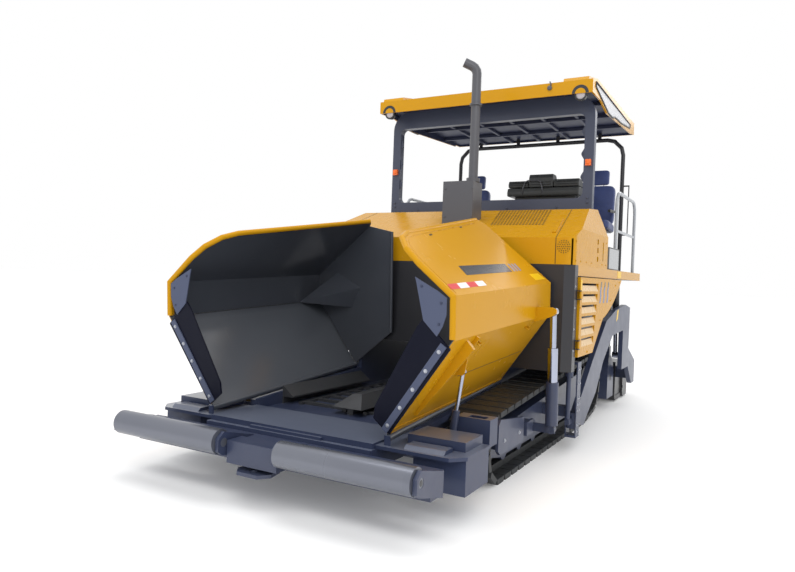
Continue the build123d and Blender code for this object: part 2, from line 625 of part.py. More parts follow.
def handrails():
    """A rail along each side of the operator's floor, with its knee rail."""
    rails = []
    for side in (1, -1):
        x = side * 1440
        rail = bent_tube([(x, 1250, DECK_TOP), (x, 1250, 2750), (x, 2450, 2750), (x, 2450, DECK_TOP)], 150,
                         RegularPolygon(20, 12))
        rail += box(x - 8, x + 8, 1250, 2450, 2270, 2300)
        rails.append(rail)
    return rails


def side_boxes():
    return both(box(1180, 1500, 620, 1200, DECK_TOP, 2050))


POST_FRONT, POST_REAR = -560.0, -430.0
POST_INNER, POST_OUTER = 1395.0, 1500.0
POST_FLANGE = 12.0
LEVEL_X, LEVEL_Y, LEVEL_R = 1440.0, -650.0, 22.0


def guide_post():
    """Tow-point guide: two flanges, their ties, and the levelling cylinder's barrel with its strap."""
    inner = box(POST_INNER, POST_INNER + POST_FLANGE, POST_FRONT, POST_REAR, 140, 1000)
    outer = box(POST_OUTER - POST_FLANGE, POST_OUTER, POST_FRONT, POST_REAR, 140, 870)
    x0, x1 = POST_INNER + POST_FLANGE, POST_OUTER - POST_FLANGE
    ties = [box(x0, x1, POST_FRONT, POST_REAR, z, z + 20) for z in (140.0, 850.0)]
    stay = box(TRACK_CENTRE + 100, POST_INNER, POST_FRONT + 20, POST_REAR - 20, 330, 430)
    hanger = box(1390, POST_INNER, POST_FRONT, POST_REAR, 880, 1000)
    barrel = pipe((LEVEL_X, LEVEL_Y, 740), (LEVEL_X, LEVEL_Y, 1240), 40, LEVEL_R + RUN_GAP)
    barrel += box(1390, LEVEL_X - 30, LEVEL_Y - 20, LEVEL_Y + 20, 900, 1100)
    return [inner, outer, ties, stay, hanger, barrel]


def auger_frame():
    beam = box(-1270, 1270, 2010, 2110, 700, 820)
    for side in (1, -1):
        a, b = sorted((side * 1110, side * 1270))
        end = plate_yz([(1960, 130), (2330, 130), (2330, 480), (2250, 620), (2110, 700), (2010, 700),
                        (1960, 560)], a, b)
        beam += end - rod((a - 5, AUGER_Y, AUGER_Z), (b + 5, AUGER_Y, AUGER_Z), AUGER_SHAFT + RUN_GAP)
        beam += box(min(side * 700, side * 800), max(side * 700, side * 800), FRAME_REAR, 2010, 700, 820)
    gearbox = box(-90, 90, 2010, 2250, 250, 700)
    gearbox -= rod((-95, AUGER_Y, AUGER_Z), (95, AUGER_Y, AUGER_Z), AUGER_SHAFT + RUN_GAP)
    return beam + gearbox


def auger():
    """Left auger: shaft with a helical flight of flat-faced turns, and a paddle at its outer end."""
    shaft = rod((3, AUGER_Y, AUGER_Z), (1268, AUGER_Y, AUGER_Z), AUGER_SHAFT)
    start, turns, steps, thick = 110.0, 2.5, 10, 14.0
    inner = AUGER_SHAFT - 8
    rings = []
    for i in range(int(turns * steps) + 1):
        a = 2 * pi * i / steps
        x = start + AUGER_PITCH * i / steps
        ring = []
        for dx, r in ((0, inner), (0, AUGER_R), (thick, AUGER_R), (thick, inner)):
            ring.append((x + dx, AUGER_Y + r * cos(a), AUGER_Z + r * sin(a)))
        rings.append(ring)
    return shaft + ribbon(rings)


# ---------------------------------------------------------------- hopper wing
def wing_points():
    """Section of the wing across the hinge, front and rear: hinge, lower crease, upper crease, top."""
    floor = WING_FLOOR
    wall = (floor[0], floor[1] + WING_WALL)
    lean = radians(WING_TOP_LEAN)
    tops = [(wall[0] - w * cos(lean), wall[1] + w * sin(lean)) for w in (WING_TOP_FRONT, WING_TOP_REAR)]
    return (0.0, 0.0), floor, wall, tops


def place_wing(shape):
    """From the panels' axes (x out, y along the creases, z up) to the machine."""
    return Pos(WING_X, WING_FRONT, WING_Z) * Rot(X=WING_RISE) * shape


def offset_line(points, thick):
    """The line's parallel on its right-hand side, with mitred corners."""
    normals = []
    for a, b in zip(points, points[1:]):
        length = hypot(b[0] - a[0], b[1] - a[1])
        normals.append(((b[1] - a[1]) / length, -(b[0] - a[0]) / length))
    moved = []
    for i, p in enumerate(points):
        before, after = normals[max(i - 1, 0)], normals[min(i, len(normals) - 1)]
        bx, bz = before[0] + after[0], before[1] + after[1]
        scale = thick / (1 + before[0] * after[0] + before[1] * after[1])
        moved.append((p[0] + bx * scale, p[1] + bz * scale))
    return moved


def wing_top_plane():
    """Plane of the top panel's inner face: first axis along the hinge, second up the panel."""
    wall = wing_points()[2]
    lean = radians(WING_TOP_LEAN)
    return Plane(origin=(wall[0], 0, wall[1]), x_dir=(0, 1, 0), z_dir=(sin(lean), 0, cos(lean)))


def wing_corner():
    """Points of the top panel's rounded front corner in its own plane: along the hinge, up the panel."""
    bend = WING_FRONT_CORNER
    slope = atan2(WING_TOP_REAR - WING_TOP_FRONT, WING_LENGTH)
    foot = WING_TOP_FRONT - bend * tan((pi / 2 - slope) / 2)
    turns = [pi - (pi / 2 - slope) * i / 3 for i in range(4)]
    return [(bend + bend * cos(a), foot + bend * sin(a)) for a in turns]


def wing_rim():
    """Centre line of the bead: up the front edges, round the corner and back along the top edge."""
    _, floor, wall, _ = wing_points()
    plane = wing_top_plane()
    end = WING_LENGTH - WING_REAR_CORNER
    height = WING_TOP_FRONT + (WING_TOP_REAR - WING_TOP_FRONT) * end / WING_LENGTH
    line = [Vector(floor[0], 0, floor[1] + 6), Vector(wall[0], 0, wall[1])]
    for y, rise in [*wing_corner(), (end, height)]:
        line.append(plane.from_local_coords(Vector(y, rise, 0)))
    return Polyline(*line)


def wing():
    """Folded hopper wing: floor, wall and leaning top panel, rear wall, rim and lifting brackets."""
    _, floor, wall, _ = wing_points()
    length = WING_LENGTH
    lean = radians(WING_TOP_LEAN)
    slant = hypot(*floor)
    up, out = (floor[0] / slant, floor[1] / slant), (floor[1] / slant, -floor[0] / slant)

    def floor_skin(x):
        """The point in the thickness of the floor panel at x, both from the hinge."""
        return x, (x + HINGE_X - WING_X) * floor[1] / floor[0] - 0.7 * WING_SKIN

    def on_floor(distance, off):
        """A point of the section, by distance up the floor panel and off its inner face outwards."""
        return up[0] * distance + out[0] * off, up[1] * distance + out[1] * off

    inside = [on_floor(WING_FOOT_TRIM, 0), floor, wall,
              (wall[0] - 1200 * cos(lean), wall[1] + 1200 * sin(lean))]
    outside = offset_line(inside, WING_SKIN)
    body = plate_xz(inside + outside[::-1], 0, length)
    # the top panel's edge rises to the rear and is round at both ends
    keep = make_face(Polyline((0, -1500), *wing_corner(), (length, WING_TOP_REAR), (length, -1500),
                              close=True))
    rear_corner = max(keep.vertices(), key=lambda v: v.X + v.Y)
    keep = fillet(rear_corner, WING_REAR_CORNER)
    body = body & extrude(wing_top_plane() * keep, amount=3000, both=True)
    rear_top = (wall[0] - (WING_TOP_REAR - 90) * cos(lean), wall[1] + (WING_TOP_REAR - 90) * sin(lean))
    rear = plate_xz([(20, 60), (floor[0], floor[1]), wall, rear_top, (-WING_REAR_REACH, rear_top[1] - 60),
                     (-WING_REAR_REACH, 420)], length - 14, length)
    rear += rod((-WING_REAR_REACH, length - 16, 420), (-WING_REAR_REACH, length - 16, rear_top[1] - 60), 16)
    body += rear
    # deflector that turns the mix in from the rear corner
    heap = solid_of_faces([(259, length - 13, 1034), (-37, length - 13, 874), (72, length - 13, 658),
                           (floor[0] - 2, 1740, floor[1] + 1)], [[0, 1, 2], [0, 3, 1], [1, 3, 2], [2, 3, 0]])
    body += heap
    rim = wing_rim()
    # the section's seam is turned to lie clear of the panels
    bead = Plane(origin=rim @ 0, z_dir=rim % 0) * Rot(Z=40) * Circle(WING_RIM)
    body += sweep(bead, path=rim, transition=Transition.RIGHT)
    # stiffener across the floor's outer face, a strip along its foot and a tab at the lower crease
    body += plate_xz([on_floor(850, 6), on_floor(830, 88), on_floor(170, 34), on_floor(150, 6)], 240, 275)
    body += plate_xz([on_floor(48, 6), on_floor(48, 18), on_floor(96, 18), on_floor(96, 6)], 20, length - 20)
    body += plate_xz([on_floor(slant - 70, 6), on_floor(slant - 70, 40), on_floor(slant - 5, 40),
                      on_floor(slant - 5, 6)], 380, 400)
    tube = rod((0, 0, 0), (0, length, 0), HINGE_TUBE)
    body = place_wing(body) + place_hinge(tube)
    for y in (0, length):
        way = 1 if y == 0 else -1
        bore = rod((0, y - way, 0), (0, y + way * (HINGE_PIN_LENGTH + 5), 0), HINGE_PIN + RUN_GAP)
        body -= place_hinge(bore)
    # cheek beside the big cylinder's eye and gusset for the small one
    pin_x, pin_y, pin_z = WING_PIN
    wall_x = WING_X + wall[0] - HINGE_X - 2
    cheek = plate_xz([(wall_x, pin_z + 40), (wall_x, pin_z - 90), (pin_x - 10, pin_z - 40),
                      (pin_x + 40, pin_z - 10),
                      (pin_x + 40, pin_z + 25), (pin_x, pin_z + 42)], pin_y - 62, pin_y - 32)
    body += place_hinge(cheek)
    pin_x, pin_y, pin_z = FRONT_PIN
    rib = plate_xz([floor_skin(pin_x - 75), (pin_x - 40, pin_z - 22), (pin_x + 10, pin_z - 22),
                    (pin_x + 26, pin_z), floor_skin(pin_x + 60)], pin_y - 32, pin_y - 18)
    body += place_hinge(rib)
    return body


def flap():
    """Rubber flap, clamp bar and corner guard on the front edge of the wing."""
    floor = wing_points()[1]
    rubber = plate_xz([(40, 25), (floor[0] - 10, floor[1] - 60), (300, 850), (250, 790), (-70, 220),
                       (-82, 130)],
                      -14, 0)
    length = hypot(*floor)
    ux, uz = floor[0] / length, floor[1] / length
    bar = plate_xz([(50 * ux, 50 * uz), ((length - 60) * ux, (length - 60) * uz),
                    ((length - 60) * ux - 50 * uz, (length - 60) * uz + 50 * ux),
                    (50 * ux - 50 * uz, 50 * uz + 50 * ux)], -24, -14)
    guard = plate_xz([(235, 1120), (400, 1035), (468, 990), (468, 880), (440, 800), (400, 735), (300, 835),
                      (245, 1085)], -22, -14)
    relief = place_hinge(rod((0, -60, 0), (0, 20, 0), 40))
    return [place_wing(rubber) - relief, place_wing(bar) - relief, place_wing(guard)]


# ---------------------------------------------------------------- tow gear and screed
def tow_block():
    """Sliding tow point: a block between the post flanges, its pin and the levelling rod's ear."""
    x0, x1 = POST_INNER + POST_FLANGE + 5, POST_OUTER - POST_FLANGE - 5
    block = box(x0, x1, TOW_Y - 75, TOW_Y + 45, TOW_Z - 75, TOW_Z + 75)
    block -= box(ARM_INNER - 3, ARM_OUTER + 3, TOW_Y - TOW_EYE - 8, TOW_Y + 60, TOW_Z - 90, TOW_Z + 90)
    block += rod((x0, TOW_Y, TOW_Z), (x1, TOW_Y, TOW_Z), TOW_PIN)
    block += box(x0 + 10, x1 - 20, LEVEL_Y - 30, TOW_Y - 70, TOW_Z - 20, TOW_Z + 30)
    block += rod((LEVEL_X, LEVEL_Y, TOW_Z), (LEVEL_X, LEVEL_Y, 1000), LEVEL_R)
    return block


def louvres():
    """Hooded air slots of the side door: pockets that deepen upwards to a slit under each hood."""
    cuts = []
    for i in range(LOUVRES):
        top = LOUVRE_TOP - LOUVRE_PITCH * i
        y0, y1 = -600 + 6 * i, 85 - 29 * i
        depth = DOOR_THICK - 6
        cuts.append(plate_xz([(DOOR_OUTER + 1, top - LOUVRE_HEIGHT), (DOOR_OUTER + 1, top),
                              (DOOR_OUTER - depth, top)], y0, y1))
        cuts.append(box(DOOR_OUTER - DOOR_THICK - 1, DOOR_OUTER - depth + 8, y0 + 12, y1 - 12, top - 22,
                        top - 2))
    return cuts


def side_door():
    """Louvred engine door, left side, with its curved lower edge over the tow arm."""
    x0, x1 = DOOR_OUTER - DOOR_THICK, DOOR_OUTER
    edge = [ThreePointArc((-80, 930), (110, 1078), (350, 1260)),
            ThreePointArc((350, 1260), (900, 1440), (1310, 1690))]
    rest = Polyline((1310, 1690), (DOOR_FRONT, 1690), (DOOR_FRONT, 930), (-80, 930))
    plane = Plane(origin=(x0, 0, 0), x_dir=(0, 1, 0), z_dir=(1, 0, 0))
    door = extrude(plane * make_face([*edge, *rest.edges()]), amount=x1 - x0)
    for cut in louvres():
        door -= cut
    for z in DOOR_HINGES:
        half = KNUCKLE_LENGTH / 2 - RUN_GAP
        knuckle = rod((DOOR_HINGE_X, DOOR_HINGE_Y, z - half), (DOOR_HINGE_X, DOOR_HINGE_Y, z + half),
                      KNUCKLE_R)
        knuckle += box(DOOR_OUTER - 2, DOOR_HINGE_X + KNUCKLE_R, DOOR_HINGE_Y, DOOR_FRONT + 40, z - half,
                       z + half)
        knuckle -= rod((DOOR_HINGE_X, DOOR_HINGE_Y, z - half - 1),
                       (DOOR_HINGE_X, DOOR_HINGE_Y, z + half + 1),
                       KNUCKLE_PIN + RUN_GAP)
        door += knuckle
    return door


def tow_arm():
    """Cranked plate arm from the tow point to the screed, left side."""
    outline = [(TOW_Y, TOW_Z + TOW_EYE), (-369, 440), (157, 821), (766, 1213), (1261, 1326), (1884, 1382),
               (2200, 1340), (2200, 800), (2700, 600), (2700, 300), (2500, 300), (2200, 560), (1780, 560),
               (1780, 1060), (1138, 1030), (684, 773), (359, 461), (7, 279), (-141, 191), (TOW_Y,
                                                                                           TOW_Z - TOW_EYE)]
    arm = plate_yz(outline, ARM_INNER, ARM_OUTER)
    arm += rod((ARM_INNER, TOW_Y, TOW_Z), (ARM_OUTER, TOW_Y, TOW_Z), TOW_EYE)
    arm -= rod((ARM_INNER - 5, TOW_Y, TOW_Z), (ARM_OUTER + 5, TOW_Y, TOW_Z), TOW_PIN + RUN_GAP)
    arm += box(SCREED_HALF, ARM_INNER, 2580, 2690, 350, 500)
    return arm


def screed():
    """Base screed: sole plate with its folded tamper face, ribs, walkway plate and slide rails."""
    sole = plate_yz([(SCREED_FRONT, SCREED_BOTTOM + 70), (SCREED_FRONT + 40, SCREED_BOTTOM),
                     (SCREED_REAR, SCREED_BOTTOM), (SCREED_REAR, SCREED_BOTTOM + 60),
                     (SCREED_FRONT + 60, SCREED_BOTTOM + 60), (SCREED_FRONT + 20, SCREED_BOTTOM + 90),
                     (SCREED_FRONT + 20, 520), (SCREED_REAR, 520), (SCREED_REAR, 560), (SCREED_FRONT, 560)],
                    -SCREED_HALF, SCREED_HALF)
    body = sole
    for x in (-1240.0, -400.0, 380.0, 1220.0):
        body += box(x, x + 20, SCREED_FRONT + 10, SCREED_REAR, SCREED_BOTTOM + 40, 540)
    body += box(-SCREED_HALF, SCREED_HALF, SCREED_REAR - 20, SCREED_REAR, SCREED_BOTTOM, 560)
    for z in RAIL_HEIGHTS:
        body += box(-SCREED_HALF + 10, SCREED_HALF - 10, SCREED_REAR, SCREED_REAR + RAIL_DEPTH, z,
                    z + RAIL_DEPTH)
    return body


def extension():
    """Sliding screed extension with its bevelled sole, end plate and fold-down walkway."""
    x0, x1 = 20.0, 1270.0
    body = plate_yz([(EXT_FRONT, SCREED_BOTTOM + 70), (EXT_FRONT + 40, SCREED_BOTTOM),
                     (EXT_REAR, SCREED_BOTTOM),
                     (EXT_REAR, 460), (EXT_REAR - 80, 540), (EXT_FRONT, 540)], x0, x1)
    for z in RAIL_HEIGHTS:
        body -= box(x0 - 1, x1 + 1, EXT_FRONT - 1, SCREED_REAR + RAIL_DEPTH + RUN_GAP,
                    z - RUN_GAP, z + RAIL_DEPTH + RUN_GAP)
    walkway = box(x0, x1, EXT_REAR, EXT_REAR + 240, 300, 330)
    for x in (x0 + 100, x1 - 120):
        walkway += plate_yz([(EXT_REAR, 180), (EXT_REAR + 200, 300), (EXT_REAR, 300)], x, x + 20)
    return body + walkway


def push_roller():
    """Left push roller: tube with a shaft stub running in each bracket."""
    gap = 3.0
    roller = rod((PUSH_INNER + gap, PUSH_Y, PUSH_Z), (PUSH_OUTER - gap, PUSH_Y, PUSH_Z), PUSH_R)
    roller += rod((PUSH_INNER - PUSH_BRACKET + 2, PUSH_Y, PUSH_Z),
                  (PUSH_OUTER + PUSH_BRACKET - 2, PUSH_Y, PUSH_Z),
                  32 - RUN_GAP)
    return roller


def along(start, end, distance):
    a, b = Vector(start), Vector(end)
    return tuple(a + (b - a).normalized() * distance)


def wing_cylinder():
    """Two-stage lifting cylinder of the left wing: barrel, stage, rod."""
    foot, pin = WING_FOOT, WING_PIN
    length = (Vector(pin) - Vector(foot)).length
    barrel = pipe(along(foot, pin, 50), along(foot, pin, 420), 55, 44)
    barrel += rod(along(foot, pin, 40), along(foot, pin, 60), 55)
    barrel += foot_eye(foot, 36, 30, 20 + RUN_GAP)
    barrel += box(foot[0] - 20, foot[0] + 20, foot[1] - 20, foot[1] + 20, foot[2] + 25, foot[2] + 50)
    stage = pipe(along(foot, pin, 280), along(foot, pin, 720), 43.7, 28)
    rod_ = rod(along(foot, pin, 500), along(foot, pin, length - 20), 27.7)
    eye = rod((pin[0], pin[1] - 32 + RUN_GAP, pin[2]), (pin[0], pin[1] + 30, pin[2]), 38)
    return [[place_hinge(part)] for part in (barrel, stage, rod_ + eye)]


def foot_eye(at, radius, half, bore):
    """An eye across Y with its bore."""
    eye = rod((at[0], at[1] - half, at[2]), (at[0], at[1] + half, at[2]), radius)
    return eye - rod((at[0], at[1] - half - 1, at[2]), (at[0], at[1] + half + 1, at[2]), bore)


def front_cylinder():
    foot, pin = FRONT_FOOT, FRONT_PIN
    length = (Vector(pin) - Vector(foot)).length
    barrel = pipe(along(foot, pin, 40), along(foot, pin, 330), 28, 16)
    barrel += rod(along(foot, pin, 24), along(foot, pin, 44), 28)
    barrel += foot_eye(foot, 28, 20, 12 + RUN_GAP)
    rod_ = rod(along(foot, pin, 120 + 130), along(foot, pin, length - 10), 15.7)
    eye = rod((pin[0], pin[1] - 18 + RUN_GAP, pin[2]), (pin[0], pin[1] + 15, pin[2]), 22)
    return [[place_hinge(part)] for part in (barrel, rod_ + eye)]


def lift_cylinder():
    top, eye_at = LIFT_TOP, LIFT_EYE
    length = (Vector(eye_at) - Vector(top)).length
    barrel = pipe(along(top, eye_at, 60), along(top, eye_at, 560), 45, 26)
    barrel += rod(along(top, eye_at, 35), along(top, eye_at, 62), 45)
    barrel += rod((top[0] - 30, top[1], top[2]), (top[0] + 30, top[1], top[2]), 36)
    barrel -= rod((top[0] - 31, top[1], top[2]), (top[0] + 31, top[1], top[2]), 16 + RUN_GAP)
    rod_ = rod(along(top, eye_at, 420), along(top, eye_at, length - 20), 25.7)
    eye = rod((eye_at[0] - 35, eye_at[1], eye_at[2]), (ARM_INNER - RUN_GAP, eye_at[1], eye_at[2]), 40)
    return [barrel], [rod_ + eye]


def lamps():
    """Round work lamps under the canopy's front corners and a marker lamp on each frame leg."""
    found = []
    for side in (1, -1):
        x = side * 1200
        lamp = rod((x, 291, CANOPY_EDGE - 10), (x, 340, CANOPY_EDGE - 10), 62)
        lamp += box(x - 20, x + 20, 300, 330, CANOPY_EDGE, ROPS_TOP)
        found.append(lamp)
        x = side * 1245
        found.append(box(x - 30, x + 30, ROPS_Y - 36, ROPS_Y, 2960, 3030))
    return found


def rear_steps():
    """Two-tread ladder from the screed's walkway up to the operator's floor."""
    found = []
    for x in (450.0, -850.0):
        ladder = box(x, x + 20, PLATFORM_REAR, PLATFORM_REAR + 160, 1050, DECK_TOP)
        ladder += box(x + 380, x + 400, PLATFORM_REAR, PLATFORM_REAR + 160, 1050, DECK_TOP)
        for z in (1070.0, 1320.0, 1570.0):
            ladder += box(x, x + 400, PLATFORM_REAR + 10, PLATFORM_REAR + 160, z, z + 25)
        found.append(ladder)
    return found


# ---------------------------------------------------------------- write the nodes
save("main_frame", main_frame())
save("front_platform", front_platform())
save("push_beam", push_beam())
save("hopper_floor", hopper_floor())
save("slat_conveyors", slat_conveyor(1), slat_conveyor(-1))
save("track_frames", both(track_frame()))
save_pair("track", [track()])
save("track_wheels", track_wheels(), [mirrored(w) for w in track_wheels()])
save("bulkhead", bulkhead())
save("side_tanks", both(side_tank()))
save("engine_block", engine_block())
save("deck_frame", deck_frame())
save("hood", hood())
save("exhaust", exhaust())
save("rops_frame", rops_frame())
save("canopy", canopy())
save("rear_hoop", rear_hoop())
save("handrails", handrails())
save("console", console())
save("lamps", lamps())
save("rear_steps", rear_steps())
save("seats", seat(1000.0), seat(-800.0))
save("side_boxes", side_boxes())
save("guide_posts", [both(piece) for piece in solids_of(guide_post())])
save("auger_frame", auger_frame())
save_pair("auger", [auger()])
save_pair("wing", [wing()])
save_pair("flap", flap())
save_pair("push_roller", [push_roller()])
save("tow_points", both(tow_block()))
save_pair("side_door", [side_door()])
save_pair("tow_arm", [tow_arm()])
save("screed", screed())
save_pair("screed_extension", [extension()])
barrel, stage, rod_end = wing_cylinder()
save_pair("wing_cylinder_barrel", barrel)
save_pair("wing_cylinder_stage", stage)
save_pair("wing_cylinder_rod", rod_end)
barrel, rod_end = front_cylinder()
save_pair("front_cylinder_barrel", barrel)
save_pair("front_cylinder_rod", rod_end)
barrel, rod_end = lift_cylinder()
save_pair("lift_cylinder_barrel", barrel)
save_pair("lift_cylinder_rod", rod_end)
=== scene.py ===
"""Looks of the tracked asphalt paver: paint, steel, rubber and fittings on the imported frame."""

import json
from math import atan, cos, hypot, pi, radians, sin, tan

import bmesh
import bpy
from mathutils import Matrix, Vector


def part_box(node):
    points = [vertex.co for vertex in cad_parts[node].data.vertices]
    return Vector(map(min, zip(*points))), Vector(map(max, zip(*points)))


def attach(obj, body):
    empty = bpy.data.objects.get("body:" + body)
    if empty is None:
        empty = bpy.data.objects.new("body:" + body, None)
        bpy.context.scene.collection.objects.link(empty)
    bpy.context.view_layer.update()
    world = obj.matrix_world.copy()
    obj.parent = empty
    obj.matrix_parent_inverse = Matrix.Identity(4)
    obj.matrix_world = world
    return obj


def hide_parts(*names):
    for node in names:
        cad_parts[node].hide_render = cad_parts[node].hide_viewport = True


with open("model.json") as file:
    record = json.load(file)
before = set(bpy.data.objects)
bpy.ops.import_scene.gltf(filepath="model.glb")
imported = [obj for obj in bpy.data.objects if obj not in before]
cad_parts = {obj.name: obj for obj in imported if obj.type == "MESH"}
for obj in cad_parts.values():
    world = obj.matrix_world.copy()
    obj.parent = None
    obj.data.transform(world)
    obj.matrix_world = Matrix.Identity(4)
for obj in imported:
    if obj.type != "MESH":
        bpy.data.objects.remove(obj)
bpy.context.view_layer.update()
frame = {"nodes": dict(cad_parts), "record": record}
nodes = frame["nodes"]

# ------------------------------------------------------------------ colours
AMBER = (0.56, 0.275, 0.006)
SLATE = (0.034, 0.045, 0.092)
CHARCOAL = (0.024, 0.024, 0.029)
STACK_GREY = (0.085, 0.086, 0.098)
HOPPER_GREY = (0.058, 0.064, 0.079)
# painted light: the paler colour given to the platform's upward faces
LIT_PLATE_GREY = (0.068, 0.078, 0.108)
ROLLER_GREY = (0.165, 0.175, 0.210)
NAVY = (0.0035, 0.0045, 0.014)
ROOF_NAVY = (0.020, 0.026, 0.062)
PALE_GREY = (0.40, 0.42, 0.45)
DUST = (0.25, 0.24, 0.22)
SEAT_BLUE = (0.030, 0.050, 0.165)
SIGNAL_RED = (0.62, 0.015, 0.020)
SIGNAL_WHITE = (0.80, 0.81, 0.82)
LABEL_YELLOW = (0.86, 0.54, 0.005)
STROKE_BLUE = (0.15, 0.20, 0.38)
ORANGE = (0.90, 0.17, 0.02)

# ------------------------------------------------------------------ the wings' own measures, in metres
WING_X, WING_FRONT, WING_Z = 0.795, -3.010, 0.513
WING_RISE, HINGE_OUT, HINGE_RISE = radians(3.0), 0.030, radians(1.0)
WING_LENGTH, WING_WALL, WING_SKIN = 2.125, 0.285, 0.012
WING_FLOOR = (0.505, 0.715)
FLOOR_SLANT = hypot(*WING_FLOOR)
FLOOR_RUN, FLOOR_RISE = WING_FLOOR[0] / FLOOR_SLANT, WING_FLOOR[1] / FLOOR_SLANT
WING_CREASE = WING_FLOOR[1] + WING_WALL         # height at which the top panel starts to lean in
TOP_LEAN = radians(39.5)
WING_TOP_FRONT, WING_TOP_REAR, WING_CORNER = 0.61, 0.93, 0.33
BEAD = 0.0225                                   # how far the rim's bead reaches inwards
TUBE_SQUARE = 0.0011                            # square of the hinge tube's reach

# ------------------------------------------------------------------ faces that fittings lie on, in metres
FLANK, DOOR_FACE, ARM_FACE = 1.5, 1.520, 1.475
ROOF_SIDE, ROOF_FRONT, ROOF_LINING = 1.335, 0.270, 3.770
HOOD_FRONT = -0.870
LEG_INNER, LEG_MIDDLE, LEG_FRONT, LAMP_FACE = 1.195, 1.245, 0.580, 0.291
PLATFORM_FRONT, TRACK_SIDE = -3.310, 1.287
FILM = 0.0016                                   # thickness of tape, labels and painted marks
HAIR = 0.0002                                   # keeps a fitting's foot out of its surface's own plane
SIDES = (("left", 1), ("right", -1))


# ------------------------------------------------------------------ shader expressions
class Link:
    """An output socket of a finish. Operators on it add the nodes that work them out."""

    def __init__(self, finish, socket):
        self.finish, self.socket = finish, socket

    def math(self, operation, *others):
        return self.finish.node("ShaderNodeMath", {"operation": operation}, self, *others)[0]

    def __add__(self, other):
        return self.math("ADD", other)

    def __radd__(self, other):
        return self.math("ADD", other)

    def __sub__(self, other):
        return self.math("SUBTRACT", other)

    def __rsub__(self, other):
        return self.finish.node("ShaderNodeMath", {"operation": "SUBTRACT"}, other, self)[0]

    def __mul__(self, other):
        return self.math("MULTIPLY", other)

    def __rmul__(self, other):
        return self.math("MULTIPLY", other)

    def __truediv__(self, other):
        return self.math("DIVIDE", other)

    def __gt__(self, other):
        return self.math("GREATER_THAN", other)

    def __lt__(self, other):
        return self.math("LESS_THAN", other)

    def __mod__(self, other):
        return self.math("FLOORED_MODULO", other)

    def __abs__(self):
        return self.math("ABSOLUTE")

    def either(self, other):
        """The larger of two masks."""
        return self.math("MAXIMUM", other)

    def ramp(self, low, high):
        """0 below low, 1 above high, straight between."""
        return self.finish.node(
            "ShaderNodeMapRange", {"clamp": True}, self, low, high, 0.0, 1.0
        )[0]


class Finish:
    """A material, built by expressions on its surface's own coordinates."""

    def __init__(self, name, **surface):
        self.material = bpy.data.materials.new(name)
        self.material.use_nodes = True
        self.tree = self.material.node_tree
        self.shader = self.tree.nodes["Principled BSDF"]
        self.places = self.node("ShaderNodeTexCoord", {})
        for socket, value in surface.items():
            self.set(socket.replace("_", " "), value)

    def node(self, kind, settings, *inputs, **named):
        """Adds a node; its settings go in first, then values or links for its sockets."""
        made = self.tree.nodes.new(kind)
        for key, value in settings.items():
            setattr(made, key, value)
        for socket, value in [*zip(made.inputs, inputs), *[(made.inputs[k], v) for k, v in named.items()]]:
            self.feed(socket, value)
        return [Link(self, out) for out in made.outputs]

    def feed(self, socket, value):
        if isinstance(value, Link):
            self.tree.links.new(value.socket, socket)
        elif hasattr(socket.default_value, "__len__") and len(value) == 3 and len(socket.default_value) == 4:
            socket.default_value = (*value, 1.0)
        else:
            socket.default_value = value

    def set(self, name, value):
        self.feed(self.shader.inputs[name], value)

    def at(self):
        """The point on the surface, as x, y and z in the machine's frame at rest."""
        return self.node("ShaderNodeSeparateXYZ", {}, self.places[3])

    def facing(self):
        """The surface's own normal, as x, y and z."""
        return self.node("ShaderNodeSeparateXYZ", {}, self.places[1])

    def noise(self, scale, detail=3.0, roughness=0.55):
        found = self.node(
            "ShaderNodeTexNoise", {}, Vector=self.places[3], Scale=scale, Detail=detail, Roughness=roughness
        )
        return found[0]

    def mix(self, amount, first, second):
        made = self.tree.nodes.new("ShaderNodeMix")
        made.data_type = "RGBA"
        self.feed(made.inputs[0], amount)
        self.feed(made.inputs[6], first)
        self.feed(made.inputs[7], second)
        return Link(self, made.outputs[2])

    def bump(self, height, strength, distance=0.002):
        made = self.node("ShaderNodeBump", {}, Strength=strength, Distance=distance, Height=height)
        self.set("Normal", made[0])


def dusted(finish, colour, low=0.1, high=1.3, most=0.45):
    """The colour with dust that thins out with height and gathers in patches."""
    height = finish.at()[2]
    patches = finish.noise(3.1).ramp(0.35, 0.75)
    grains = finish.noise(46.0, 4.0).ramp(0.35, 0.8) * 0.4 + 0.6
    amount = (1 - height.ramp(low, high)) * patches * grains * most
    return finish.mix(amount, colour, DUST)


def paint(name, colour, roughness, coat, most_dust=0.35, high=1.2, grain=0.008, shine=0.4):
    """Enamel with a faint orange peel, a little dust low down and uneven gloss."""
    finish = Finish(name, Specular_IOR_Level=shine, Coat_Weight=coat, Coat_Roughness=0.12)
    shade = finish.mix(finish.noise(0.9, 1.0).ramp(0.3, 0.8) * 0.08, colour, [c * 0.85 for c in colour])
    finish.set("Base Color", dusted(finish, shade, 0.1, high, most_dust))
    finish.set("Roughness", finish.noise(6.0).ramp(0.2, 0.9) * 0.12 + roughness)
    finish.bump(finish.noise(90.0, 1.0), grain, 0.001)
    return finish


def wing_place(finish):
    """Out, along and up in the frame of the wing on either side."""
    x, y, z = finish.at()
    ahead, above = y - WING_FRONT, z - WING_Z
    along = ahead * cos(WING_RISE) + above * sin(WING_RISE)
    up = above * cos(WING_RISE) - ahead * sin(WING_RISE)
    return abs(x) - WING_X, along, up


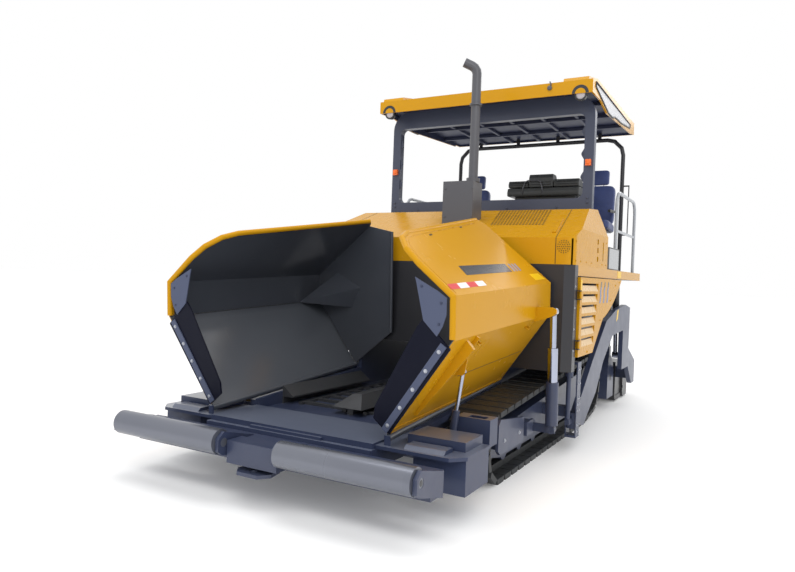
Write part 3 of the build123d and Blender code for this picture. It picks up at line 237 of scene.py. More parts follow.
def wing_paint():
    """Amber outside and on the bead, grey wear plate inside with painted light on its upward floor faces,
    dark hinge tube.
    """
    finish = Finish("hopper_wing_paint", Specular_IOR_Level=0.1, Coat_Roughness=0.16)
    out, along, up = wing_place(finish)
    # how far a point lies outside the inner faces of the floor, wall and top panel
    floor_off = out * FLOOR_RISE - up * FLOOR_RUN
    top_off = (out - WING_FLOOR[0]) * sin(TOP_LEAN) + (up - WING_CREASE) * cos(TOP_LEAN)
    off = floor_off.either(out - WING_FLOOR[0]).either(top_off)
    outside = off > WING_SKIN / 2
    near_edge = (along < 0.045).either(up > 1.16)
    nx, ny, nz = finish.facing()
    x = finish.at()[0]
    edgewise = (nz * sin(TOP_LEAN) - nx * x / abs(x) * cos(TOP_LEAN) > 0.25).either(ny < -0.25)
    bead = (off > -BEAD) * (off < -0.0012).either(edgewise) * near_edge * (along < 2.09) * (up > 0.72)
    tube_side, tube_up = out - HINGE_OUT, up - along * sin(HINGE_RISE)
    tube = (tube_side * tube_side + tube_up * tube_up) < TUBE_SQUARE
    amber = outside.either(bead) * (1 - tube)
    scuffs = finish.noise(2.3, 3.0).ramp(0.45, 0.8) * 0.15
    inner_plate_colour = finish.mix(scuffs, HOPPER_GREY, (0.10, 0.104, 0.115))
    # painted light: upward faces of the floor panel are made paler, as lit from above
    painted_floor_light = (nz > 0.3) * (1 - up.ramp(0.66, 0.74))
    inner_plate_colour = finish.mix(painted_floor_light, inner_plate_colour, (0.098, 0.107, 0.125))
    foot = (1 - up.ramp(0.02, 0.5)) * finish.noise(5.0, 5.0).ramp(0.35, 0.8)
    inner_plate_colour = finish.mix(foot * 0.04, inner_plate_colour, DUST)
    finish.set("Base Color", finish.mix(amber, inner_plate_colour, dusted(finish, AMBER, 0.3, 1.1, 0.12)))
    finish.set("Coat Weight", (1 - amber) * 0.75 + 0.04)
    finish.set("Roughness", (1 - amber) * 0.06 + finish.noise(5.0).ramp(0.2, 0.9) * 0.08 + 0.22)
    finish.bump(finish.noise(70.0, 2.0), 0.012, 0.001)
    return finish


def flap_rubber():
    """Navy-black rubber; the clamp bar and the corner guard in front of it are painted slate."""
    finish = Finish("flap_rubber", Specular_IOR_Level=0.12)
    along = wing_place(finish)[1]
    metal = along < -0.0142
    dull = finish.mix(finish.noise(8.0, 5.0).ramp(0.45, 0.8) * 0.15, NAVY, (0.015, 0.017, 0.026))
    finish.set("Base Color", finish.mix(metal, dull, (0.085, 0.100, 0.160)))
    finish.set("Roughness", 0.36 - metal * 0.04 + finish.noise(12.0) * 0.08)
    finish.bump(finish.noise(160.0, 2.0), 0.05, 0.001)
    return finish


def canopy_paint():
    """Amber outside, navy lining inside the tray."""
    finish = Finish("canopy_paint", Specular_IOR_Level=0.2, Coat_Weight=0.06, Coat_Roughness=0.12)
    x, y, z = finish.at()
    # the lining ends just inside the folded rim
    tray = (abs(x) < 1.3165) * (y > 0.2885) * (y < 2.7215) * (z < 3.775)
    amber = finish.mix(finish.noise(1.3).ramp(0.3, 0.8) * 0.12, AMBER, [c * 0.85 for c in AMBER])
    finish.set("Base Color", finish.mix(tray, amber, ROOF_NAVY))
    finish.set("Roughness", tray * 0.25 + 0.24)
    finish.bump(finish.noise(90.0, 1.0), 0.02, 0.001)
    return finish


def deck_paint():
    """Amber ledge with a dark non-slip floor behind the hood, dark below 1.69 m, and painted shade on its
    downward faces.
    """
    finish = Finish("deck_paint", Specular_IOR_Level=0.2, Coat_Weight=0.06, Coat_Roughness=0.15)
    x, y, z = finish.at()
    nz = finish.facing()[2]
    floor = (nz > 0.5) * (y > 0.66) * (abs(x) < 1.47) * (z > 1.79)
    # painted shade: downward faces are made dark, like the non-slip floor and everything below 1.69 m
    dark = floor.either(nz < -0.5).either(z < 1.69)
    finish.set("Base Color", finish.mix(dark, AMBER, (0.060, 0.062, 0.068)))
    finish.set("Roughness", dark * 0.3 + 0.26)
    ribs = abs((x * 38.0) % 1.0 - 0.5).ramp(0.18, 0.3) * abs((y * 26.0) % 1.0 - 0.5).ramp(0.1, 0.25)
    finish.bump(ribs * floor, 0.5, 0.002)
    return finish


def lamp_finish():
    """Pale lens in a dark housing under the canopy, orange markers on the legs."""
    finish = Finish("lamp_lens", Coat_Weight=0.6, Coat_Roughness=0.05)
    _, y, z = finish.at()
    marker = z < 3.2
    lens = (y < 0.2925) * (1 - marker)
    body = finish.mix(lens, (0.02, 0.02, 0.022), (0.62, 0.60, 0.62))
    finish.set("Base Color", finish.mix(marker, body, ORANGE))
    finish.set("Roughness", 0.4 - lens.either(marker) * 0.28)
    rings = abs((z * 90.0) % 1.0 - 0.5)
    finish.bump(rings * lens.either(marker), 0.25, 0.002)
    return finish


def roller_paint():
    """Smooth slate tube with scraped bands where lorry tyres run."""
    finish = Finish("roller_paint", Metallic=0.6, Coat_Weight=0.1)
    x = finish.at()[0]
    bands = finish.noise(1.1, 1.0).ramp(0.35, 0.75) * (abs(x) < 1.25)
    finish.set("Base Color", finish.mix(bands * 0.12, ROLLER_GREY, (0.30, 0.31, 0.34)))
    finish.set("Roughness", 0.30 - bands * 0.04)
    return finish


def platform_paint():
    """Slate plate whose upward faces are painted paler, as lit from above, and are smoother and glossier."""
    finish = Finish("platform_paint", Specular_IOR_Level=0.35, Coat_Roughness=0.15)
    nz = finish.facing()[2]
    # painted light: upward faces are mixed towards a paler grey, as lit from above
    painted_top_light = (nz > 0.6) * (finish.noise(1.4, 2.0).ramp(0.2, 0.8) * 0.3 + 0.7)
    finish.set("Base Color", finish.mix(painted_top_light, SLATE, [c * 2.0 for c in LIT_PLATE_GREY]))
    finish.set("Coat Weight", painted_top_light * 0.6 + 0.05)
    finish.set("Roughness", 0.34 - painted_top_light * 0.06 + finish.noise(9.0) * 0.05)
    finish.bump(finish.noise(60.0, 3.0), 0.02, 0.001)
    return finish


def door_paint():
    """Amber door with a painted highlight on its slanted louvre faces."""
    finish = Finish("door_paint", Specular_IOR_Level=0.12, Coat_Weight=0.06, Coat_Roughness=0.12)
    x, _, z = finish.at()
    nz = finish.facing()[2]
    # painted highlight: louvre faces slanted up and out are mixed half towards cream
    painted_louvre_highlight = (nz > 0.12) * (nz < 0.9) * (abs(x) < 1.5195) * (z > 0.95)
    amber = dusted(finish, AMBER, 0.8, 1.3, 0.2)
    finish.set("Base Color", finish.mix(painted_louvre_highlight * 0.5, amber, (0.85, 0.72, 0.52)))
    finish.set("Roughness", finish.noise(6.0).ramp(0.2, 0.9) * 0.1 + 0.24)
    finish.bump(finish.noise(90.0, 1.0), 0.02, 0.001)
    return finish


def chrome_rod():
    """Polished rods, a little clouded by oil."""
    finish = Finish("chrome_rod", Metallic=1.0)
    clouds = finish.noise(4.0).ramp(0.4, 0.8) * 0.3
    finish.set("Base Color", finish.mix(clouds, (0.40, 0.43, 0.53), (0.30, 0.32, 0.40)))
    finish.set("Roughness", finish.noise(25.0) * 0.08 + 0.10)
    return finish


def worn_steel():
    """Bare steel scraped by the mix."""
    finish = Finish("worn_steel", Metallic=0.55)
    finish.set("Base Color", dusted(finish, (0.085, 0.088, 0.095), 0.0, 1.5, 0.15))
    finish.set("Roughness", finish.noise(9.0, 6.0) * 0.3 + 0.25)
    finish.bump(finish.noise(34.0, 6.0), 0.12, 0.002)
    return finish


def track_steel():
    """Dark, pitted track shoes."""
    finish = Finish("track_steel", Metallic=0.25)
    finish.set("Base Color", dusted(finish, (0.028, 0.031, 0.034), 0.0, 1.0, 0.06))
    finish.set("Roughness", finish.noise(14.0, 4.0) * 0.35 + 0.36)
    finish.bump(finish.noise(40.0, 5.0), 0.15, 0.003)
    return finish


def moulded(name, dark, light, cloud, roughness, grain):
    """Moulded plastic: two near shades in clouds and a fine grain."""
    finish = Finish(name)
    finish.set("Base Color", finish.mix(finish.noise(cloud) * 0.5, dark, light))
    finish.set("Roughness", finish.noise(9.0) * 0.15 + roughness)
    finish.bump(finish.noise(grain, 2.0), 0.12, 0.0008)
    return finish


def vinyl(name, colour):
    """Seat cover with a fine leather grain and slightly rubbed crowns."""
    finish = Finish(name, Sheen_Weight=0.15)
    rub = finish.noise(7.0, 4.0).ramp(0.45, 0.8) * 0.25
    finish.set("Base Color", finish.mix(rub, colour, [min(1.0, c * 1.9) for c in colour]))
    finish.set("Roughness", finish.noise(60.0, 4.0) * 0.15 + 0.42)
    pores = finish.node("ShaderNodeTexVoronoi", {"feature": "DISTANCE_TO_EDGE"},
                        Vector=finish.places[3], Scale=230.0)[0]
    finish.bump(pores.ramp(0.0, 0.12), 0.25, 0.0008)
    return finish


def plain(name, colour, roughness, metallic=0.0):
    """A small fitting's finish, a little uneven."""
    finish = Finish(name, Metallic=metallic)
    finish.set("Base Color", finish.mix(finish.noise(18.0, 3.0) * 0.24, colour, [c * 0.7 for c in colour]))
    finish.set("Roughness", finish.noise(25.0) * 0.1 + roughness)
    return finish


AMBER_PAINT = paint("amber_paint", AMBER, 0.22, 0.05, 0.0, shine=0.14)
SLATE_PAINT = paint("slate_paint", SLATE, 0.32, 0.15, 0.18, 0.9)
CHARCOAL_PAINT = paint("charcoal_paint", CHARCOAL, 0.34, 0.12, 0.12, 0.9)
STACK_PAINT = paint("stack_paint", STACK_GREY, 0.33, 0.15, 0.0)
PALE_PAINT = paint("pale_grey_paint", PALE_GREY, 0.30, 0.1, 0.1)
PLATFORM_PAINT = platform_paint()
FRAME_PAINT = paint("front_frame_paint", (0.050, 0.060, 0.098), 0.34, 0.12, 0.0)
GLOSS_GREY = paint("gloss_grey_panel", (0.20, 0.215, 0.235), 0.10, 0.6, 0.0)
WING_PAINT = wing_paint()
FLAP = flap_rubber()
CANOPY = canopy_paint()
DECK = deck_paint()
LAMPS = lamp_finish()
ROLLER = roller_paint()
DOOR = door_paint()
CHROME = chrome_rod()
WORN_STEEL = worn_steel()
TRACK = track_steel()
PLASTIC = moulded("black_plastic", (0.020, 0.021, 0.023), (0.034, 0.035, 0.037), 5.0, 0.40, 320.0)
DESK = moulded("desk_shell", (0.042, 0.045, 0.045), (0.062, 0.065, 0.064), 4.0, 0.38, 260.0)
VINYL = vinyl("blue_vinyl", SEAT_BLUE)
RED_TAPE = plain("red_reflective_tape", SIGNAL_RED, 0.45)
WHITE_TAPE = plain("white_reflective_tape", SIGNAL_WHITE, 0.45)
BLANK_LABEL = plain("blank_yellow_label", LABEL_YELLOW, 0.3)
BLANK_PLATE = plain("blank_dark_plate", (0.060, 0.060, 0.064), 0.18)
STROKES = plain("blue_strokes", STROKE_BLUE, 0.3)
# painted shade in the air slots, round vents and rim slots; also the dark of the seams
HOLE_SHADE_AND_SEAM = plain("painted_hole_shade_and_seam", (0.010, 0.009, 0.008), 0.7)
ZINC = plain("zinc_bolt", (0.50, 0.52, 0.57), 0.26, 0.85)
ROOF_RIBS = plain("roof_lining", ROOF_NAVY, 0.5)
# painted reflection: pale grey standing in for the sky reflected in the canopy's side inserts
INSERT_SKY_REFLECTION = plain("side_insert_painted_reflection", (0.50, 0.51, 0.53), 0.35)
ORANGE_LENS = plain("orange_lens", ORANGE, 0.15)
CLEAR_LENS = plain("clear_lens", (0.46, 0.43, 0.45), 0.06)
GLASS_PANEL = plain("instrument_glass", (0.012, 0.014, 0.018), 0.05)

FINISHES = {
    "yellow_paint": AMBER_PAINT,
    "grey_paint": SLATE_PAINT,
    "dark_paint": CHARCOAL_PAINT,
    "worn_steel": WORN_STEEL,
    "chrome": CHROME,
    "rubber": TRACK,
    "blue_seat": VINYL,
    "black_plastic": PLASTIC,
    "lamp_lens": LAMPS,
    "light_grey_paint": PALE_PAINT,
}
OWN_FINISH = {
    "front_platform": PLATFORM_PAINT,
    "canopy": CANOPY,
    "deck_frame": DECK,
    "exhaust": STACK_PAINT,
    "rops_frame": FRAME_PAINT,
    "side_boxes": GLOSS_GREY,
}
BOTH_SIDES_FINISH = {
    "wing": WING_PAINT,
    "flap": FLAP,
    "push_roller": ROLLER,
    "side_door": DOOR,
    "wing_cylinder_barrel": SLATE_PAINT,
    "front_cylinder_barrel": SLATE_PAINT,
}
for name, finish in BOTH_SIDES_FINISH.items():
    OWN_FINISH.update({f"{name}_{side_name}": finish for side_name, _ in SIDES})
slot_of = {row["node"]: row["material_slot"] for row in frame["record"]["subparts"]}
for name, piece in nodes.items():
    finish = OWN_FINISH.get(name, FINISHES[slot_of[name]])
    piece.data.materials.clear()
    piece.data.materials.append(finish.material)


# ------------------------------------------------------------------ shapes
class Shape:
    """Closed forms gathered into one mesh."""

    def __init__(self):
        self.mesh = bmesh.new()

    def prism(self, outline, depth):
        """The outline's corners, pushed along the depth."""
        near = [self.mesh.verts.new(p) for p in outline]
        far = [self.mesh.verts.new(Vector(p) + Vector(depth)) for p in outline]
        count = len(outline)
        faces = [near[::-1], far]
        faces += [[near[i], near[(i + 1) % count], far[(i + 1) % count], far[i]] for i in range(count)]
        for face in faces:
            self.mesh.faces.new(face)
        return self

    def box(self, low, high):
        (x0, y0, z0), (x1, y1, z1) = low, high
        return self.prism([(x0, y0, z0), (x1, y0, z0), (x1, y1, z0), (x0, y1, z0)], (0, 0, z1 - z0))

    def circle(self, centre, across, other, radius, sides):
        """A row of corners round the centre."""
        turns = [2 * pi * k / sides for k in range(sides)]
        return [self.mesh.verts.new(centre + (across * cos(a) + other * sin(a)) * radius) for a in turns]

    def skin(self, rows):
        """Faces between rows of corners, closed at both ends."""
        sides = len(rows[0])
        for low, high in zip(rows, rows[1:]):
            for k in range(sides):
                self.mesh.faces.new([low[k], low[(k + 1) % sides], high[(k + 1) % sides], high[k]])
        self.mesh.faces.new(rows[0][::-1])
        self.mesh.faces.new(rows[-1])
        return self

    def ring(self, place, axis, profile, sides=16):
        """A turned form: the profile gives radius and height along the axis, from its foot to its tip."""
        axis = Vector(axis).normalized()
        across = axis.orthogonal().normalized()
        other = axis.cross(across)
        return self.skin([self.circle(Vector(place) + axis * height, across, other, radius, sides)
                          for radius, height in profile])

    def bolt(self, place, axis, radius=0.012):
        """Washer and hexagon head."""
        washer = [(radius * 1.45, 0.0), (radius * 1.45, radius * 0.22), (radius * 1.35, radius * 0.28)]
        self.ring(place, axis, washer, 12)
        foot = Vector(place) + Vector(axis).normalized() * radius * 0.2
        head = [(radius, 0.0), (radius, radius * 0.6), (radius * 0.8, radius * 0.75)]
        return self.ring(foot, axis, head, 6)

    def tube(self, points, radius, sides=10):
        """A bent round bar through the points."""
        points = [Vector(p) for p in points]
        rows, across = [], None
        for i, point in enumerate(points):
            before = (point - points[i - 1]).normalized() if i else None
            after = (points[i + 1] - point).normalized() if i + 1 < len(points) else None
            way = (before + after).normalized() if before and after else (before or after)
            if across is None:
                across = way.orthogonal().normalized()
            across = (across - way * across.dot(way)).normalized()
            other = way.cross(across)
            rows.append(self.circle(point, across, other, radius, sides))
        return self.skin(rows)

    def piece(self, name, finish, body, slot, bevel=0.0, smooth=False):
        """The finished object, riding on its body."""
        bmesh.ops.recalc_face_normals(self.mesh, faces=self.mesh.faces)
        data = bpy.data.meshes.new(name)
        self.mesh.to_mesh(data)
        self.mesh.free()
        made = bpy.data.objects.new(name, data)
        bpy.context.collection.objects.link(made)
        data.materials.append(finish.material)
        if smooth:
            data.polygons.foreach_set("use_smooth", [True] * len(data.polygons))
        if bevel:
            edge = made.modifiers.new("rounded_edges", "BEVEL")
            edge.width, edge.segments, edge.limit_method = bevel, 2, "ANGLE"
        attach(made, body)
        return made


def on_wing(side, out, along, up):
    """A point of the left or right wing, given out, along and up in its own frame."""
    return Vector((
        side * (WING_X + out),
        WING_FRONT + along * cos(WING_RISE) - up * sin(WING_RISE),
        WING_Z + along * sin(WING_RISE) + up * cos(WING_RISE),
    ))


def on_top(side, along, up, off=WING_SKIN):
    """On the leaning top panel, up from its crease and off its inner face."""
    return on_wing(side, WING_FLOOR[0] - up * cos(TOP_LEAN) + off * sin(TOP_LEAN), along,
                   WING_CREASE + up * sin(TOP_LEAN) + off * cos(TOP_LEAN))


def on_floor(side, along, up, off=WING_SKIN):
    """On the floor panel, up from its foot and off its inner face."""
    return on_wing(side, FLOOR_RUN * up + FLOOR_RISE * off, along, FLOOR_RISE * up - FLOOR_RUN * off)


def patch(place, corners):
    """A film laid on a surface: place(along, up, off) gives points of it."""
    outline = [place(a, b, 0.0) for a, b in corners]
    return Shape().prism(outline, place(*corners[0], FILM) - outline[0])


# ------------------------------------------------------------------ hopper wings
def wing_fittings(side_name, side):
    """Tape, blank plate and label, strokes, slots, hem, seam, hooks, weld and bolts of one wing."""
    body = f"hopper_wing_{side_name}"

    def top(along, up, off):
        return on_top(side, along, up, WING_SKIN + off)

    def strip(a0, a1, up0, up1, lean=0.012):
        return [(a0, up0), (a1, up0), (a1 + lean, up1), (a0 + lean, up1)]

    blocks = {"red": Shape(), "white": Shape()}
    for i, colour in enumerate(("red", "white", "red", "white")):
        a0 = 0.035 + 0.155 * i
        outline = [top(a, u, 0.0) for a, u in strip(a0, a0 + 0.152, 0.052, 0.102)]
        blocks[colour].prism(outline, top(a0, 0.052, FILM) - outline[0])
    blocks["red"].piece(f"tape_red_{side_name}", RED_TAPE, body, "yellow_paint")
    blocks["white"].piece(f"tape_white_{side_name}", WHITE_TAPE, body, "yellow_paint")
    patch(top, strip(0.50, 1.46, 0.172, 0.272, 0.02)).piece(
        f"blank_plate_{side_name}", BLANK_PLATE, body, "dark_paint")
    strokes = Shape()
    for i in range(3):
        a0 = 1.515 + 0.075 * i
        outline = [top(a, u, 0.0) for a, u in strip(a0, a0 + 0.034, 0.176, 0.268, 0.03)]
        strokes.prism(outline, top(a0, 0.176, FILM) - outline[0])
    strokes.piece(f"plate_strokes_{side_name}", STROKES, body, "dark_paint")
    patch(top, [(1.80, 0.045), (2.07, 0.045), (2.05, 0.125), (1.80, 0.125)]).piece(
        f"wing_label_{side_name}", BLANK_LABEL, body, "yellow_paint")
    # painted shade: the rim slots are dark films, not cut openings
    slots = Shape()
    for along, up in ((0.62, 0.63), (1.40, 0.76)):
        corners = ((-0.03, -0.012), (0.03, 0.0), (0.03, 0.014), (-0.03, 0.002))
        outline = [top(along + a, up + u, 0.0) for a, u in corners]
        slots.prism(outline, top(along, up, 0.0014) - top(along, up, 0.0))
    slots.piece(f"rim_slots_{side_name}", HOLE_SHADE_AND_SEAM, body, "dark_paint")
    # folded hem inside the bead, round the front corner and back to the rear
    hem = Shape()
    slope = (WING_TOP_REAR - WING_TOP_FRONT) / WING_LENGTH
    bend, inset = WING_CORNER, 0.046
    foot = WING_TOP_FRONT - bend * tan((pi / 2 - atan(slope)) / 2)
    line = [(inset, 0.01)]
    for i in range(7):
        a = pi - (pi / 2 - atan(slope)) * i / 6
        line.append((bend + (bend - inset) * cos(a), foot + (bend - inset) * sin(a)))
    line.append((1.86, WING_TOP_FRONT + slope * 1.86 - inset))
    hem.tube([on_top(side, a, u, WING_SKIN - 0.0005) for a, u in line], 0.0032, 6)
    hem.piece(f"wing_hem_{side_name}", AMBER_PAINT, body, "yellow_paint", smooth=True)
    # seam and small hooks on the floor panel
    seam = Shape()
    corners = ((0.62, 0.44), (2.08, 0.44), (2.08, 0.446), (0.62, 0.446))
    outline = [on_floor(side, a, u, WING_SKIN) for a, u in corners]
    seam.prism(outline, on_floor(side, 1.0, 0.44, WING_SKIN + 0.001) - on_floor(side, 1.0, 0.44, WING_SKIN))
    seam.piece(f"floor_seam_{side_name}", HOLE_SHADE_AND_SEAM, body, "yellow_paint")
    hooks = Shape()
    for along in (0.46, 1.55):
        bend = ((0.0, 0.012), (0.0, 0.045), (0.05, 0.045), (0.05, 0.012))
        hooks.tube([on_floor(side, along + a, 0.80, off) for a, off in bend], 0.006, 8)
    hooks.piece(f"floor_hooks_{side_name}", AMBER_PAINT, body, "yellow_paint", smooth=True)
    # weld run along the lower crease inside
    weld = Shape()
    steps, ripple = 40, 0.0012
    line = [on_wing(side, WING_FLOOR[0] - 0.004, 0.05 + 1.9 * i / steps,
                    WING_FLOOR[1] - 0.002 + ripple * (i % 2)) for i in range(steps + 1)]
    weld.tube(line, 0.004, 6)
    weld.piece(f"crease_weld_{side_name}", WORN_STEEL, body, "worn_steel", smooth=True)
    # bolts through the clamp bar and the corner guard
    bolts, inwards = Shape(), 0.025
    ahead = on_wing(side, 0, -1, 0) - on_wing(side, 0, 0, 0)
    for i in range(5):
        up = 0.10 + 0.165 * i
        bolts.bolt(on_wing(side, FLOOR_RUN * up - FLOOR_RISE * inwards, -0.0238,
                           FLOOR_RISE * up + FLOOR_RUN * inwards), ahead, 0.010)
    bolts.piece(f"flap_bolts_{side_name}", ZINC, body, "chrome")
    studs = Shape()
    for out, up in ((0.43, 0.955), (0.415, 0.815), (0.285, 1.06)):
        studs.bolt(on_wing(side, out, -0.0218, up), ahead, 0.007)
    studs.piece(f"guard_bolts_{side_name}", SLATE_PAINT, body, "grey_paint")


# ------------------------------------------------------------------ superstructure
SLOPE_FOOT, SLOPE_HEAD = Vector((0.0, -0.87, 2.05)), Vector((0.0, 0.10, 2.42))


def on_slope(x, share, off=0.0):
    """On the hood's sloping front, by x and share of the way up."""
    run = SLOPE_HEAD - SLOPE_FOOT
    normal = Vector((0, -run.z, run.y)).normalized()
    return Vector((x, 0, 0)) + SLOPE_FOOT + run * share + normal * off


def off_slope(thick):
    """The step out of the hood's sloping front."""
    return on_slope(0, 0, thick) - on_slope(0, 0)


def hood_fittings():
    """Air slots and round vents drawn as dark films of painted shade, seams, cover strips and bolts."""
    # painted shade: the air slots are dark films on the slope, not openings
    slots = Shape()
    rows, columns = 13, 17
    for row in range(rows):
        climb = row / (rows - 1)
        share = 0.42 + 0.54 * climb
        for column in range(columns):
            x = 0.505 - 0.10 * climb + (0.548 + 0.02 * climb) * column / (columns - 1)
            corners = ((0.0, 0.0), (0.019, 0.0), (0.022, 0.020), (0.003, 0.020))
            slots.prism([on_slope(x + a, share + b) for a, b in corners], off_slope(0.0012))
    slots.piece("hood_air_slots", HOLE_SHADE_AND_SEAM, "chassis", "dark_paint")
    # painted shade: the holes of the round vents are dark discs
    vents = Shape()
    for side in (1, -1):
        for ring, count in ((0.0, 1), (0.020, 6), (0.040, 12), (0.058, 16)):
            for k in range(count):
                a = 2 * pi * k / count
                vents.ring((side * (1.400 + ring * cos(a)), HOOD_FRONT - HAIR, 1.965 + ring * sin(a)),
                           (0, -1, 0), [(0.0052, 0.0), (0.0052, 0.0012)], 8)
    vents.piece("hood_round_vents", HOLE_SHADE_AND_SEAM, "chassis", "dark_paint")
    seams = Shape()
    for side in (1, -1):
        x0, x1 = sorted((side * 1.322, side * 1.328))
        seams.box((x0, HOOD_FRONT - 0.0015, 1.805), (x1, HOOD_FRONT + 0.0005, 2.048))
        outline = [on_slope(x0, 0.0), on_slope(x1, 0.0),
                   on_slope(side * 1.212, 0.985), on_slope(side * 1.206, 0.985)]
        seams.prism(outline, off_slope(0.0012))
    seams.piece("hood_seams", HOLE_SHADE_AND_SEAM, "chassis", "dark_paint")
    cover = Shape()
    outline = [on_slope(1.150, 0.72), on_slope(1.212, 0.72), on_slope(1.165, 0.95), on_slope(1.100, 0.95)]
    cover.prism(outline, off_slope(0.003))
    cover.prism([on_slope(1.245, 0.14), on_slope(1.285, 0.14), on_slope(1.225, 0.62), on_slope(1.185, 0.62)],
                off_slope(0.012))
    cover.piece("hood_cover_strips", AMBER_PAINT, "chassis", "yellow_paint")
    bolts = Shape()
    for side in (1, -1):
        for y, z in ((-0.80, 1.84), (-0.62, 1.84), (-0.40, 1.84), (-0.18, 1.84), (0.30, 1.84), (0.48, 1.84),
                     (0.48, 2.08), (-0.80, 2.02)):
            bolts.bolt((side * (FLANK - 0.0005), y, z), (side, 0, 0), 0.006)
        for x in (1.10, 0.80, 0.30):
            bolts.bolt((side * x, HOOD_FRONT + 0.0005, 1.84), (0, -1, 0), 0.006)
    bolts.piece("hood_bolts", AMBER_PAINT, "chassis", "yellow_paint")


def side_label(side, face, low, high):
    """An upright film on a side face, from its low to its high corner along and up."""
    inner, outer = sorted((side * face, side * (face + FILM)))
    return Shape().box((inner, *low), (outer, *high))


def door_fittings(side_name, side):
    """Slanted strokes, blank label and bolts of one side door."""
    body = f"side_door_{side_name}"
    face, film = side * DOOR_FACE, (side * FILM, 0, 0)
    low, high = Shape(), Shape()
    for i in range(3):
        y = 0.145 + 0.175 * i
        wave = [(0.0, 1.43), (0.03, 1.50), (0.018, 1.56), (0.045, 1.60)]
        edge = [(y + a, z) for a, z in wave] + [(y + a + 0.052, z) for a, z in wave[::-1]]
        low.prism([(face, a, z) for a, z in edge], film)
        tip = [(y + 0.045, 1.60), (y + 0.060, 1.655), (y + 0.102, 1.655), (y + 0.097, 1.60)]
        high.prism([(face, a, z) for a, z in tip], film)
    low.piece(f"door_strokes_{side_name}", STROKES, body, "grey_paint")
    high.piece(f"door_stroke_tips_{side_name}", BLANK_PLATE, body, "grey_paint")
    side_label(side, DOOR_FACE, (-0.655, 1.49), (-0.610, 1.668)).piece(
        f"door_label_{side_name}", BLANK_LABEL, body, "yellow_paint")
    bolts = Shape()
    for y, z in ((-0.645, 1.10), (-0.645, 1.40), (0.95, 1.62), (1.18, 1.66), (0.70, 1.45), (0.22, 1.25),
                 (-0.30, 0.955)):
        bolts.bolt((face, y, z), (side, 0, 0), 0.007)
    bolts.piece(f"door_bolts_{side_name}", AMBER_PAINT, body, "yellow_paint")


def body_labels():
    """Blank labels on the ledge and the tow arms, and the dark rims of the side boxes."""
    for name, side in SIDES:
        side_label(side, FLANK, (1.16, 1.712), (1.36, 1.79)).piece(
            f"ledge_label_{name}", BLANK_LABEL, "chassis", "yellow_paint")
        corners = ((1.36, 1.32), (1.44, 1.335), (1.40, 1.215), (1.32, 1.19))
        Shape().prism([(side * ARM_FACE, y, z) for y, z in corners], (side * FILM, 0, 0)).piece(
            f"arm_label_{name}", BLANK_LABEL, "screed", "yellow_paint")
    rims = Shape()
    for side in (1, -1):
        x = side * (FLANK - 0.002)
        for z in (1.806, 2.044):
            rims.tube([(x, 0.625, z), (x, 1.195, z)], 0.006, 8)
        for y in (0.626, 1.194):
            rims.tube([(x, y, 1.806), (x, y, 2.044)], 0.006, 8)
    rims.piece("side_box_rims", PLASTIC, "chassis", "black_plastic", smooth=True)


